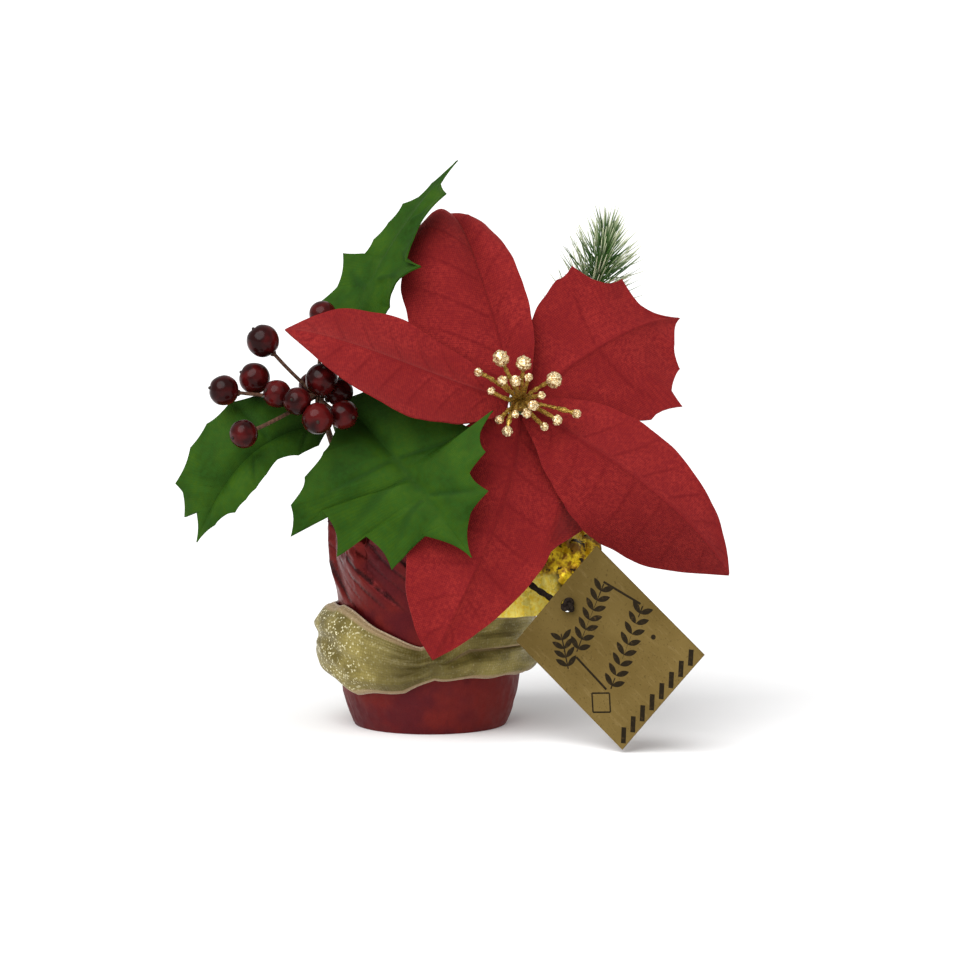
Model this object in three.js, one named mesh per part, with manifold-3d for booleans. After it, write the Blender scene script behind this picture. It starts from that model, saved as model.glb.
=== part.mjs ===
// A small decorative poinsettia in a foil-wrapped pot: one five-bract bloom, a holly pick with berries,
// a pine sprig, a gathered mesh ribbon round the pot and a card tag on a cord.
// Millimetres, +Z up. The origin is the centre of the pot's base, and -Y is the front.
import * as THREE from "three";
import { mergeVertices } from "three/addons/utils/BufferGeometryUtils.js";
import Module from "manifold-3d";

const wasm = await Module();
wasm.setup();

// ---------------------------------------------------------------- driving dimensions

const GAP = 0.3; // running gap between two pieces that touch
const SHEET = 0.9; // thickness of the foil wrap
const PETAL = 0.7; // thickness of a bract's cloth
const LEAF = 0.7; // thickness of a holly leaf

const POT = { baseR: 23.4, topR: 28.3, low: 1.2, high: 50, wall: 1.2, lip: 0.5 };
const FOAM = { low: 2.8, high: 45, dome: 2.5 };

// The foil wrap's outer face from the edge of its floor to its neck: [radius, height].
const WRAP_WALL = [[24.2, 0], [25, 0.9], [28.2, 11], [29.1, 20], [29.2, 30], [29.8, 40], [31.4, 52.5]];
const WRAP_ROUND = 54; // stations round the wrap
const WRAP_PLEATS = 9; // diagonal folds where the foil is drawn in above the ribbon
const PLEAT_LEAN = 0.034; // how far a fold leans round the pot, in radians per mm of height
const PLEAT_AT = -17; // the bearing at which a fold passes a height of 40
const DEG = Math.PI / 180;

const BAND = { round: 60, across: 12, thick: 5.4, folds: 3 };

const HUB = { at: [28.3, -28, 105.6], axis: [0.08, -0.95, 0.26], radius: 3.4, length: 7.5, step: 2.1 };

// Each wired stem's radius, and where it stands in the foam.
const STEM_R = { bloom: 1.5, holly: 1.3, berry: 1.0, pine: 1.1 };
const FEET = { bloom: [7.5, 3], holly: [-8, -3], berry: [-11, 5], pine: [7, 15] };
const FOOT = { low: 12, high: 49 }; // the straight part of each stem

const TAG = { width: 41, height: 48.5, thick: 0.8, holeR: 2.1, holeDown: 5.2, at: [56, -55, 32.4] };
const TAG_ACROSS = new THREE.Vector3(0.604, -0.243, 0.76).normalize(); // along its top edge
const TAG_FACE = new THREE.Vector3(-0.426, -0.904, 0.049).normalize(); // out of its printed side
const CORD_R = 1;
const CORD_BEND = 6; // radius of the bend behind the tag's hole
const CORD_LOOP_Z = 76.5; // where the tag's cord is looped round the bloom's stem
const CORD_ROUTE = [ // from the loop, over the turned-down foil, to above the card's back
  [15, -4, 75.8], [16.8, -10, 75.2], [18.4, -16.5, 73.5], [20, -22.6, 70.6], [21.9, -28.2, 66.8],
  [24.3, -33.6, 63.3], [27.1, -38.1, 58.6], [29.1, -39.9, 54], [31.1, -40.3, 50.9], [33.5, -40.1, 48.8],
  [36.2, -40.2, 47.1],
];

const COLOUR = {
  foil: 0x5e1620, ribbon: 0xa2925a, bract: 0x8f2224, leaf: 0x2f6424, stem: 0x3d5a2a, pot: 0x3a2b26,
  foam: 0x56683f, berry: 0x4a0f18, gold: 0xc79a45, pine: 0x2f5a30, card: 0x8a6f45, cord: 0x1f1712,
};

// ---------------------------------------------------------------- small helpers

const vec = (p) => new THREE.Vector3(p[0], p[1], p[2]);
const mix = (a, b, t) => a + (b - a) * t;
const smooth = (t) => t * t * (3 - 2 * t);
const rise = (x, from, to) => smooth(THREE.MathUtils.clamp((x - from) / (to - from), 0, 1));

// A repeatable random stream (mulberry32).
function randomStream(seed) {
  let state = seed;
  return () => {
    state = (state + 0x6d2b79f5) | 0;
    let t = Math.imul(state ^ (state >>> 15), 1 | state);
    t = (t + Math.imul(t ^ (t >>> 7), 61 | t)) ^ t;
    return ((t ^ (t >>> 14)) >>> 0) / 4294967296;
  };
}

// The value at x of a line through sorted [x, value] stations.
function along(stations, x) {
  const i = stations.findIndex(([at]) => at >= x);
  if (i <= 0) return i === 0 ? stations[0][1] : stations.at(-1)[1];
  const [[x0, v0], [x1, v1]] = [stations[i - 1], stations[i]];
  return mix(v0, v1, (x - x0) / (x1 - x0));
}

function solidOf(geometry) {
  const bare = geometry.index ? geometry.toNonIndexed() : geometry.clone();
  bare.deleteAttribute("normal");
  bare.deleteAttribute("uv");
  const merged = mergeVertices(bare, 1e-4);
  return new wasm.Manifold(new wasm.Mesh({
    numProp: 3,
    vertProperties: new Float32Array(merged.attributes.position.array),
    triVerts: new Uint32Array(merged.index.array),
  }));
}

function geometryOf(solid) {
  const { numProp, numVert, vertProperties, triVerts } = solid.getMesh();
  const position = new Float32Array(numVert * 3);
  for (let i = 0; i < numVert; i++) {
    position.set(vertProperties.subarray(i * numProp, i * numProp + 3), i * 3);
  }
  const geometry = new THREE.BufferGeometry();
  geometry.setAttribute("position", new THREE.BufferAttribute(position, 3));
  geometry.setIndex(new THREE.BufferAttribute(new Uint32Array(triVerts), 1));
  return geometry;
}

const fuse = (geometries) => geometryOf(wasm.Manifold.union(geometries.map(solidOf)));

// A round rod of a few sides along a curve.
function rod(curve, radius, sides, steps) {
  const ring = Array.from({ length: sides }, (_, i) => {
    const a = (i / sides) * 2 * Math.PI;
    return new THREE.Vector2(radius * Math.cos(a), radius * Math.sin(a));
  });
  const options = { steps, extrudePath: curve, bevelEnabled: false };
  return new THREE.ExtrudeGeometry(new THREE.Shape(ring), options);
}

// Where a falling curve passes a height, found by halving.
function atHeight(curve, height) {
  let [low, high] = [0, 1];
  for (let i = 0; i < 30; i++) {
    const middle = (low + high) / 2;
    if (curve.getPoint(middle).z > height) low = middle;
    else high = middle;
  }
  return low;
}

// A stem along points above the pot, with a straight foot in the foam.
function stem(points, [x, y], radius) {
  const foot = new THREE.CylinderGeometry(radius, radius, FOOT.high - FOOT.low, 8).rotateX(Math.PI / 2);
  const curve = through([...points, [x, y, FOOT.high - 1]]);
  return fuse([rod(curve, radius, 8, 16), foot.translate(x, y, (FOOT.high + FOOT.low) / 2)]);
}

const through = (points) => new THREE.CatmullRomCurve3(points.map(vec), false, "centripetal");

// A geometry that was modelled along +Y, moved to start at a point and run along a direction.
function aimed(geometry, start, direction) {
  const turn = new THREE.Quaternion().setFromUnitVectors(new THREE.Vector3(0, 1, 0), direction);
  return geometry.applyQuaternion(turn).translate(start.x, start.y, start.z);
}

// ---------------------------------------------------------------- thin sheets

// Thickens a grid of points to a closed solid. A row of one point is a pole, and a ring's rows close on
// themselves. Both faces are split alike, so they never cross.
function thicken(rows, thickness, ring = false) {
  const points = [];
  const index = rows.map((row) => row.map((p) => points.push(p) - 1));
  const faces = [];
  for (let i = 0; i + 1 < rows.length; i++) {
    const [a, b] = [index[i], index[i + 1]];
    const n = Math.max(a.length, b.length);
    for (let j = 0; j < (ring ? n : n - 1); j++) {
      const k = (j + 1) % n;
      const [a0, a1, b0, b1] = [a[j] ?? a[0], a[k] ?? a[0], b[j] ?? b[0], b[k] ?? b[0]];
      const mirrored = j < n / 2;
      const pair = mirrored ? [[a0, b0, a1], [a1, b0, b1]] : [[a0, b0, b1], [a0, b1, a1]];
      faces.push(...pair.filter(([p, q, r]) => p !== q && q !== r && r !== p));
    }
  }
  const normals = points.map(() => new THREE.Vector3());
  for (const [p, q, r] of faces) {
    const n = new THREE.Vector3().subVectors(points[q], points[p])
      .cross(new THREE.Vector3().subVectors(points[r], points[p]));
    [p, q, r].forEach((v) => normals[v].add(n));
  }
  const count = points.length;
  const position = [1, -1].flatMap((side) => points.flatMap((p, i) =>
    p.clone().addScaledVector(normals[i].clone().normalize(), (side * thickness) / 2).toArray()));
  const edges = new Set(faces.flatMap(([p, q, r]) => [`${p}_${q}`, `${q}_${r}`, `${r}_${p}`]));
  const rim = [...edges].map((e) => e.split("_").map(Number)).filter(([p, q]) => !edges.has(`${q}_${p}`));
  const triangles = [
    ...faces.flat(),
    ...faces.flatMap(([p, q, r]) => [p + count, r + count, q + count]),
    ...rim.flatMap(([p, q]) => [q, p, p + count, q, p + count, q + count]),
  ];
  const geometry = new THREE.BufferGeometry();
  geometry.setAttribute("position", new THREE.Float32BufferAttribute(position, 3));
  geometry.setIndex(triangles);
  return geometry;
}

// A blade is laid between three curves that share its tip: the midrib and the edges of its port and
// starboard halves. A row of it holds the midrib's point and one point of each edge, and bulge lifts the
// middle of each half off the straight line between them.
function bladeRow(blade, [t, port, star], perHalf) {
  const rib = blade.rib.getPoint(t);
  const up = blade.rib.getTangent(t).cross(star.clone().sub(port)).normalize();
  const half = (edge, bulge) => Array.from({ length: perHalf }, (_, i) => {
    const share = (i + 1) / perHalf;
    const lift = bulge * 4 * share * (1 - share) * Math.sin(Math.PI * t);
    return rib.clone().lerp(edge, share).addScaledVector(up, lift);
  });
  return [...half(port, blade.bulge[0]).reverse(), rib, ...half(star, blade.bulge[1])];
}

// A blade whose midrib starts at its root, and whose edges start a claw's half width to either side.
function bladeOf({ rib, bulge }, root, side, claw) {
  const points = [root, ...rib.map(vec)];
  const foot = [-claw, claw].map((reach) => root.clone().addScaledVector(side, reach));
  return { rib: new THREE.CubicBezierCurve3(...points), bulge, foot, tip: points.at(-1) };
}

// A blade with smooth edges: each is a cubic curve from the foot to the tip by two control points.
function smoothBlade(blade, { port, star }, rows, perHalf) {
  const [portFoot, starFoot] = blade.foot;
  const portEdge = new THREE.CubicBezierCurve3(portFoot, ...port.map(vec), blade.tip);
  const starEdge = new THREE.CubicBezierCurve3(starFoot, ...star.map(vec), blade.tip);
  const shares = Array.from({ length: rows }, (_, i) => i / rows);
  const stations = shares.map((t) => [t, portEdge.getPoint(t), starEdge.getPoint(t)]);
  return [...stations.map((station) => bladeRow(blade, station, perHalf)), [blade.tip]];
}

// A blade with spines or lobes: each station gives its place on the midrib and a corner of either edge.
function toothedBlade(blade, { edges }, perHalf) {
  const stations = [[0, ...blade.foot], ...edges.map(([t, port, star]) => [t, vec(port), vec(star)])];
  return [...stations.map((station) => bladeRow(blade, station, perHalf)), [blade.tip]];
}

// ---------------------------------------------------------------- the bloom

const hubAxis = vec(HUB.axis).normalize();
const hubAt = vec(HUB.at);

// Five bracts in three layers on the hub. Each gives its midrib and its edges, past their start at the hub.
const BRACTS = {
  bract_left: {
    layer: 0, bulge: [1, 1],
    rib: [[3, -41, 113.5], [-24, -48, 129], [-44.8, -34, 129.3]],
    port: [[-2, -62, 95], [-24.5, -64.5, 115]],
    star: [[-0.5, -32, 126.5], [-17, -16, 144.5]],
  },
  bract_top: {
    layer: 1, bulge: [-1.5, -1.5],
    rib: [[24, -27, 117.5], [8, 1, 182], [3.2, 12, 157.1]],
    port: [[-31.5, -18.5, 122], [0.5, -13.5, 179.5]],
    star: [[39.5, -36, 133], [20.5, -1, 176]],
  },
  bract_upper_right: {
    layer: 2, bulge: [1, 1],
    rib: [[50.5, -25, 122.5], [66, -18, 132], [79.5, -3, 130.5]],
    edges: [
      [0.1, [30, -24, 118], [41, -26, 105.5]],
      [0.22, [31, -22, 127.5], [50.5, -27, 103]],
      [0.35, [35, -20, 137], [60, -26, 100.5]],
      [0.46, [40, -18, 143.5], [69.5, -23, 99.5]],
      [0.52, [45, -16, 148], [80, -18, 103.5]],
      [0.56, [54, -15, 143], [76.5, -17, 108.5]],
      [0.68, [61, -10, 143.5], [79.5, -11, 115]],
      [0.74, [67, -11, 135.5], [77.5, -11, 122.5]],
    ],
  },
  bract_lower_right: {
    layer: 0, bulge: [1, 1],
    rib: [[55, -47.5, 92], [82.5, -55, 75], [93.7, -40, 53.1]],
    port: [[69.5, -28, 111], [93, -44, 80.5]],
    star: [[42, -49, 75.5], [45, -20.5, 52]],
  },
  bract_bottom: {
    layer: 1, bulge: [1, 1],
    rib: [[27.5, -42, 76.5], [11, -58, 51.5], [1.3, -45, 27.1]],
    port: [[60, -27, 73.5], [30, -58, 43]],
    star: [[4, -33, 108], [-20, -58.5, 56]],
  },
};

function bract(name, spec) {
  const reach = vec(spec.rib[0]).sub(hubAt);
  const out = reach.addScaledVector(hubAxis, -reach.dot(hubAxis)).normalize();
  const level = HUB.length / 2 - 1 - spec.layer * HUB.step;
  const root = hubAt.clone().addScaledVector(hubAxis, level).addScaledVector(out, HUB.radius + GAP);
  const blade = bladeOf(spec, root, out.clone().cross(hubAxis), 3.8);
  const rows = spec.edges ? toothedBlade(blade, spec, 4) : smoothBlade(blade, spec, 13, 4);
  return mesh(name, thicken(rows, PETAL), COLOUR.bract, 0.85);
}

const BLOOM_STEM = [
  hubAt.clone().addScaledVector(hubAxis, 2 - HUB.length / 2).toArray(),
  [26.5, -17, 101], [20, -6, 88], [11, 1, 68],
];

// The hub behind the bracts, with the wired stem that carries it down into the foam.
function bloomStem() {
  const hub = new THREE.CylinderGeometry(HUB.radius, HUB.radius * 0.8, HUB.length, 14);
  const carrier = stem(BLOOM_STEM, FEET.bloom, STEM_R.bloom);
  return mesh("bloom_stem", fuse([aimed(hub, hubAt, hubAxis), carrier]), COLOUR.stem, 0.7);
}

// Gilt stamens: stalks that fan out from one boss, each with a bead on its end.
const STAMENS = { beadR: 2.1, boss: { top: 2.2, foot: 3.2, tall: 2.4 } };
const BEADS = [
  [22.5, -41, 121], [29.5, -42, 119.5], [39, -42, 114.5], [15.5, -38.5, 116.5], [23, -44.5, 114.5],
  [27, -46, 114.5], [31, -45, 115.5], [19.5, -42, 111], [35, -46, 110], [32.5, -47, 107],
  [30.5, -46.5, 104.5], [22, -42, 102], [24.5, -42.5, 98.5], [36, -43.5, 100], [40, -43.5, 102],
  [46, -43, 104], [27, -45, 104],
];

function stamens() {
  const { beadR, boss } = STAMENS;
  const random = randomStream(7);
  const front = hubAt.clone().addScaledVector(hubAxis, HUB.length / 2 + GAP);
  const middle = front.clone().addScaledVector(hubAxis, boss.tall / 2);
  const pieces = [aimed(new THREE.CylinderGeometry(boss.top, boss.foot, boss.tall, 10), middle, hubAxis)];
  for (const centre of BEADS) {
    const start = front.clone().addScaledVector(hubAxis, 0.8);
    const reach = vec(centre).sub(start);
    const length = reach.length();
    const stalk = new THREE.CylinderGeometry(0.45, 0.5, length, 4).translate(0, length / 2, 0);
    const bead = new THREE.IcosahedronGeometry(beadR * mix(0.8, 1.1, random()), 1);
    pieces.push(aimed(stalk, start, reach.normalize()), bead.translate(...centre));
  }
  return mesh("stamens", fuse(pieces), COLOUR.gold, 0.35, 0.8);
}

// ---------------------------------------------------------------- the holly pick

const HOLLY_STEM = [[-28.5, -21.5, 113], [-29, -23, 106], [-29, -22, 98], [-23, -14, 86], [-14, -6, 66]];

// Each leaf leaves the stem at a height, and gives its midrib and the corners of its edges.
const HOLLY_LEAVES = {
  holly_leaf_front: {
    height: 107, bulge: [1, 1],
    rib: [[-11.5, -43, 92], [1, -51, 77.5], [13.5, -55, 60.5]],
    edges: [
      [0.07, [-28.5, -33, 101.5], [-19, -30, 110]],
      [0.15, [-30, -37, 96], [-10.5, -34, 110.5]],
      [0.25, [-33, -40, 91.5], [-1, -37.5, 107]],
      [0.36, [-38.5, -42, 84], [8, -40.5, 102.7]],
      [0.46, [-42.5, -43, 75.5], [14, -42, 99.5]],
      [0.5, [-42.5, -41, 65.5], [19.5, -46.5, 105]],
      [0.53, [-33, -45, 74], [16, -48, 98.5]],
      [0.61, [-29, -43, 59], [18, -51, 93]],
      [0.65, [-19.5, -47, 66.5], [13, -51, 86.5]],
      [0.74, [-11.5, -47, 55.5], [18.5, -53, 81]],
      [0.79, [-2, -51, 67], [13, -53, 74]],
    ],
  },
  holly_leaf_left: {
    height: 100, bulge: [2, 2],
    rib: [[-52, -41, 99.5], [-64, -43, 87], [-72.5, -37, 63]],
    edges: [
      [0.1, [-38.5, -27, 106], [-34.5, -33, 93]],
      [0.22, [-46.5, -28, 108], [-40.5, -38, 90.5]],
      [0.34, [-54.5, -29, 108], [-47, -42, 89.5]],
      [0.46, [-62, -31, 106], [-50.5, -45, 85.5]],
      [0.56, [-69.5, -33, 100], [-53.5, -46, 81]],
      [0.64, [-74.5, -34, 92.5], [-56.5, -46, 77.5]],
      [0.72, [-79, -33, 81], [-60, -45, 73.5]],
      [0.75, [-76.5, -35, 78.5], [-62.5, -44, 73]],
      [0.82, [-76.5, -33, 70.5], [-65, -43, 71]],
      [0.85, [-72.5, -36, 72.5], [-66.5, -42, 69]],
    ],
  },
  holly_leaf_upper: {
    height: 111, bulge: [1, 1],
    rib: [[-23, -14, 137.5], [-10.5, -14, 158], [9, -10, 181]],
    edges: [
      [0.12, [-32, -14, 117.5], [-21.5, -19, 119]],
      [0.25, [-36.5, -9, 126.5], [-15, -19, 127]],
      [0.36, [-37, -6, 134.5], [-12.5, -21, 135.5]],
      [0.46, [-29.5, -4, 140.5], [-11, -25, 141.5]],
      [0.52, [-27.5, 0, 151], [-9, -28, 145]],
      [0.56, [-20.5, -4, 151], [-2.5, -32, 149]],
      [0.62, [-17.5, -4, 155.5], [-7.5, -27, 150.5]],
      [0.7, [-13, -3, 161], [-5, -23, 157]],
      [0.78, [-8.5, -3, 167], [-1.5, -20, 163.5]],
      [0.83, [-3.5, -5, 169], [5.5, -21, 171]],
      [0.87, [1, -6, 173.5], [3.5, -15, 174]],
    ],
  },
};

function hollyLeaf(name, spec) {
  const carrier = through(HOLLY_STEM);
  const t = atHeight(carrier, spec.height);
  const ahead = carrier.getTangent(t);
  const out = vec(spec.rib[0]).sub(carrier.getPoint(t));
  out.addScaledVector(ahead, -out.dot(ahead)).normalize();
  const root = carrier.getPoint(t).addScaledVector(out, STEM_R.holly + 2.4 * GAP);
  const toStar = vec(spec.edges[0][2]).sub(vec(spec.edges[0][1]));
  const blade = bladeOf(spec, root, toStar.addScaledVector(out, -toStar.dot(out)).normalize(), 1);
  return mesh(name, thicken(toothedBlade(blade, spec, 3), LEAF), COLOUR.leaf, 0.55);
}

function hollyStem() {
  return mesh("holly_stem", stem(HOLLY_STEM, FEET.holly, STEM_R.holly), COLOUR.stem, 0.7);
}

// Berries on wire twigs: [centre, radius]. Every twig leaves the same bundle, which has its own wire.
const BERRIES = [
  [[-51.6, -34, 125.9], 5.2], [[-63.7, -38, 110.8], 4.8], [[-54.4, -32, 114], 5.0],
  [[-47, -41, 110], 4.5], [[-57, -50, 98.4], 4.5], [[-34.2, -49, 103.1], 5.0],
  [[-33.2, -39, 114.2], 5.2], [[-26.3, -42, 103.6], 4.6], [[-33.5, -19, 133], 4.4],
  [[-40.6, -47, 108.3], 4.4], [[-28, -34, 110], 4.6], [[-37, -28.5, 111.5], 3.9],
];
const BERRY_BUNDLE = [-35, -31, 108.5];
const BERRY_STEM = [BERRY_BUNDLE, [-34.5, -22, 109.5], [-33.5, -14, 101], [-29, -9, 86], [-19, -1, 66]];
const TWIG_R = 0.6;

function berrySpray() {
  const pieces = [stem(BERRY_STEM, FEET.berry, STEM_R.berry)];
  const from = vec(BERRY_BUNDLE);
  for (const [centre, radius] of BERRIES) {
    const to = vec(centre);
    const bow = from.clone().lerp(to, 0.55).add(new THREE.Vector3(0, -1, -1.5));
    pieces.push(rod(new THREE.QuadraticBezierCurve3(from, bow, to), TWIG_R, 5, 4));
    pieces.push(new THREE.IcosahedronGeometry(radius, 1).translate(to.x, to.y, to.z));
  }
  return mesh("berry_spray", fuse(pieces), COLOUR.berry, 0.25);
}

// ---------------------------------------------------------------- the pine sprig

const PINE_STEM = [[56.5, 12, 156], [54.5, 12.5, 145], [43, 14.5, 114], [23, 17, 80], [11, 16, 60]];
const NEEDLES = { count: 96, reach: [12.5, 15.5], radius: 0.62, bareShare: 0.3 };

// Needles stand out all round the stem, apart from a bare share at its foot, and close up at its tip.
function pineSprig() {
  const { count, reach, radius, bareShare } = NEEDLES;
  const curve = through(PINE_STEM);
  const random = randomStream(21);
  const pieces = [stem(PINE_STEM, FEET.pine, STEM_R.pine)];
  for (let i = 0; i < count; i++) {
    const t = mix(bareShare, 0.995, (i / (count - 1)) ** 0.7);
    const at = curve.getPointAt(1 - t);
    const ahead = curve.getTangentAt(1 - t).negate();
    const across = new THREE.Vector3(0, 1, 0).cross(ahead).normalize();
    const other = ahead.clone().cross(across);
    const turn = i * 137.5 * DEG;
    const lean = mix(60, 20, rise(t, 0.92, 1)) * DEG;
    const direction = ahead.clone().multiplyScalar(Math.cos(lean))
      .addScaledVector(across, Math.sin(lean) * Math.cos(turn))
      .addScaledVector(other, Math.sin(lean) * Math.sin(turn)).normalize();
    const length = mix(...reach, random());
    const needle = new THREE.ConeGeometry(radius, length, 3).translate(0, length / 2, 0);
    pieces.push(aimed(needle, at, direction));
  }
  return mesh("pine_sprig", fuse(pieces), COLOUR.pine, 0.6);
}

// ---------------------------------------------------------------- the pot and what is in it

function potCup() {
  const { baseR, topR, low, high, wall, lip } = POT;
  const profile = [
    [0, low], [baseR, low], [topR, high - 2], [topR + lip, high - 2], [topR + lip, high],
    [topR - wall, high], [baseR - wall, low + wall], [0, low + wall],
  ].map(([r, z]) => new THREE.Vector2(r, z));
  return mesh("pot_cup", new THREE.LatheGeometry(profile, 36).rotateX(Math.PI / 2), COLOUR.pot, 0.6);
}

// Dry foam that fills the pot, with a plain hole for each stem.
function foamBlock() {
  const { baseR, topR, wall, low, high } = POT;
  const inside = (z) => mix(baseR, topR, (z - low - wall) / (high - low - wall)) - wall - GAP;
  const shoulder = FOAM.high - FOAM.dome;
  const profile = [
    [0, FOAM.low], [inside(FOAM.low), FOAM.low], [inside(shoulder), shoulder],
    [inside(shoulder) * 0.7, FOAM.high - 0.6], [0, FOAM.high],
  ].map(([r, z]) => new THREE.Vector2(r, z));
  const block = solidOf(new THREE.LatheGeometry(profile, 36).rotateX(Math.PI / 2));
  const sides = 8;
  const drilled = Object.keys(FEET).reduce((solid, name) => {
    const radius = (STEM_R[name] + GAP) / Math.cos(Math.PI / sides);
    const drill = new THREE.CylinderGeometry(radius, radius, FOAM.high, sides).rotateX(Math.PI / 2);
    return solid.subtract(solidOf(drill.translate(...FEET[name], FOOT.low - GAP + FOAM.high / 2)));
  }, block);
  return mesh("foam_block", geometryOf(drilled), COLOUR.foam, 0.95);
}

// ---------------------------------------------------------------- the foil wrap

// Above its neck the sheet runs on as a free rim in three stretches: up, over and under. At each bearing,
// in degrees from the front towards the right, a stretch has a length and a lean from upright. At the
// right front a corner of the sheet is turned out and down, as far as the ribbon's upper edge.
const RIM = [
  { bearing: -180, up: [15, 24], over: [2, 40], under: [1.5, 50] },
  { bearing: -120, up: [16, 10], over: [2, 18], under: [1.5, 30] },
  { bearing: -90, up: [12, 0], over: [2, 3], under: [1.5, 6] },
  { bearing: -45, up: [12, 3], over: [2, 6], under: [1.5, 12] },
  { bearing: -2, up: [11, 8], over: [2, 30], under: [1.5, 45] },
  { bearing: 12, up: [11, 30], over: [5, 150], under: [2, 168] },
  { bearing: 25, up: [10, 44], over: [24, 170], under: [2, 172] },
  { bearing: 42, up: [12, 50], over: [25.5, 168], under: [2, 172] },
  { bearing: 50, up: [14, 54], over: [25, 162], under: [3, 175] },
  { bearing: 58, up: [18, 58], over: [18, 145], under: [7, 180] },
  { bearing: 72, up: [19, 54], over: [8, 110], under: [5, 140] },
  { bearing: 90, up: [18, 48], over: [5, 75], under: [3, 95] },
  { bearing: 125, up: [13, 30], over: [2, 45], under: [1.5, 60] },
  { bearing: 180, up: [15, 24], over: [2, 40], under: [1.5, 50] },
];
const RIM_STEPS = { up: 4, over: 4, under: 2 };

// The middle of the sheet's thickness at a bearing, from the floor's edge up to the neck and on to the rim.
function wrapSection(bearing) {
  const middle = WRAP_WALL.map(([r, z], i) => (i === 0 ? [r, z + SHEET / 2] : [r - SHEET / 2, z]));
  const points = middle.map(([r, z]) => [r + pleatAt(bearing, z), z]);
  let [r, z] = points.at(-1);
  let lean = 6;
  for (const part of ["up", "over", "under"]) {
    const [length, to] = [0, 1].map((k) => along(RIM.map((at) => [at.bearing, at[part][k]]), bearing));
    const from = lean;
    for (let i = 1; i <= RIM_STEPS[part]; i++) {
      lean = mix(from, to, Math.min(1, (2 * i) / RIM_STEPS[part]));
      r += (length / RIM_STEPS[part]) * Math.sin(lean * DEG);
      z += (length / RIM_STEPS[part]) * Math.cos(lean * DEG);
      points.push([r, z]);
    }
  }
  return points;
}

// The point at a bearing from the front towards the right, a distance out from the pot's axis and a height.
function atBearing(bearing, r, z) {
  return new THREE.Vector3(r * Math.sin(bearing * DEG), -r * Math.cos(bearing * DEG), z);
}

// How far a diagonal pleat stands out of the wall: a long slope, then a sharp step back.
function pleatAt(bearing, z) {
  const turn = (((bearing - PLEAT_AT) * DEG + PLEAT_LEAN * (z - 40)) * WRAP_PLEATS) / (2 * Math.PI);
  const share = turn - Math.floor(turn);
  const shape = share < 0.8 ? share / 0.8 : (1 - share) / 0.2;
  return (shape - 0.5) * mix(0.25, 1.25, rise(z, 38, 54)) * rise(z, 0, 3);
}

// Small waves in the free rim, which grow from the neck outwards.
function crumple(bearing, i) {
  return 0.7 * rise(i, 8, 15) * Math.sin(bearing * 0.19 + 0.5) * Math.cos(bearing * 0.11 + i);
}

function foilWrap() {
  const bearings = Array.from({ length: WRAP_ROUND }, (_, j) => -180 + (j * 360) / WRAP_ROUND);
  const sections = bearings.map(wrapSection);
  const rows = sections[0].map((_, i) => bearings.map((bearing, j) => {
    const [r, z] = sections[j][i];
    return atBearing(bearing, r + crumple(bearing, i), z + crumple(bearing + 60, i));
  }));
  const floorR = WRAP_WALL[0][0] - 1;
  const centre = [new THREE.Vector3(0, 0, SHEET / 2)];
  const floor = bearings.map((bearing) => atBearing(bearing, floorR, SHEET / 2));
  return mesh("foil_wrap", thicken([centre, floor, ...rows], SHEET, true), COLOUR.foil, 0.35, 0.5);
}

// ---------------------------------------------------------------- the ribbon round the pot

// The ribbon's upper and lower edge round the pot: [degrees from the front towards the right, height].
const BAND_TOP = [
  [-180, 33], [-120, 37], [-90, 38.5], [-62, 40], [-42, 36], [-22, 31.5],
  [-5, 28.5], [8, 29.5], [24, 37.5], [46, 38], [62, 38], [80, 37], [100, 31], [150, 30], [180, 33],
];
const BAND_FOOT = [
  [-180, 14], [-120, 14.5], [-90, 16.5], [-68, 14.5], [-50, 13], [-15, 14.2], [3, 19.3], [20, 18.4],
  [60, 18.6], [90, 17], [130, 14], [180, 14],
];

function wrapRadiusAt(z) {
  return along(WRAP_WALL.slice(1).map(([r, height]) => [height, r]), z);
}

// A closed ring whose outside is gathered into long folds that run round the pot.
function ribbonBand() {
  const rings = [];
  for (let i = 0; i < BAND.round; i++) {
    const bearing = -180 + (i * 360) / BAND.round;
    const [foot, top] = [along(BAND_FOOT, bearing), along(BAND_TOP, bearing)];
    const puff = 1 + 0.35 * rise(-bearing, 50, 95) * rise(180 + bearing, 20, 60); // fuller on the left
    const swirl = 1.2 * Math.sin(2 * bearing * DEG);
    const section = [];
    for (let k = 0; k < BAND.across; k++) {
      const turn = (k / BAND.across) * 2 * Math.PI;
      const share = (1 - Math.cos(turn)) / 2;
      const z = mix(foot, top, share);
      const inside = wrapRadiusAt(z) + SHEET;
      const outward = Math.sin(turn);
      const gather = 1 + 0.2 * Math.cos(BAND.folds * 2 * Math.PI * share + swirl);
      const out = outward > 0.01 ? BAND.thick * puff * outward ** 0.7 * gather : 0;
      section.push(atBearing(bearing, inside + out, z));
    }
    rings.push(section);
  }
  return mesh("ribbon_band", closedRing(rings), COLOUR.ribbon, 0.5, 0.6);
}

// A closed surface through sections that go once round an axis.
function closedRing(rings) {
  const [n, m] = [rings.length, rings[0].length];
  const triangles = [];
  for (let i = 0; i < n; i++) {
    for (let k = 0; k < m; k++) {
      const [a, b] = [i * m + k, ((i + 1) % n) * m + k];
      const [c, d] = [i * m + ((k + 1) % m), ((i + 1) % n) * m + ((k + 1) % m)];
      triangles.push(a, b, d, a, d, c);
    }
  }
  const position = rings.flat().flatMap((p) => p.toArray());
  const geometry = new THREE.BufferGeometry();
  geometry.setAttribute("position", new THREE.Float32BufferAttribute(position, 3));
  geometry.setIndex(triangles);
  return geometry;
}

// ---------------------------------------------------------------- the tag and its cord

const tagUp = TAG_FACE.clone().cross(TAG_ACROSS).normalize();

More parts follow.
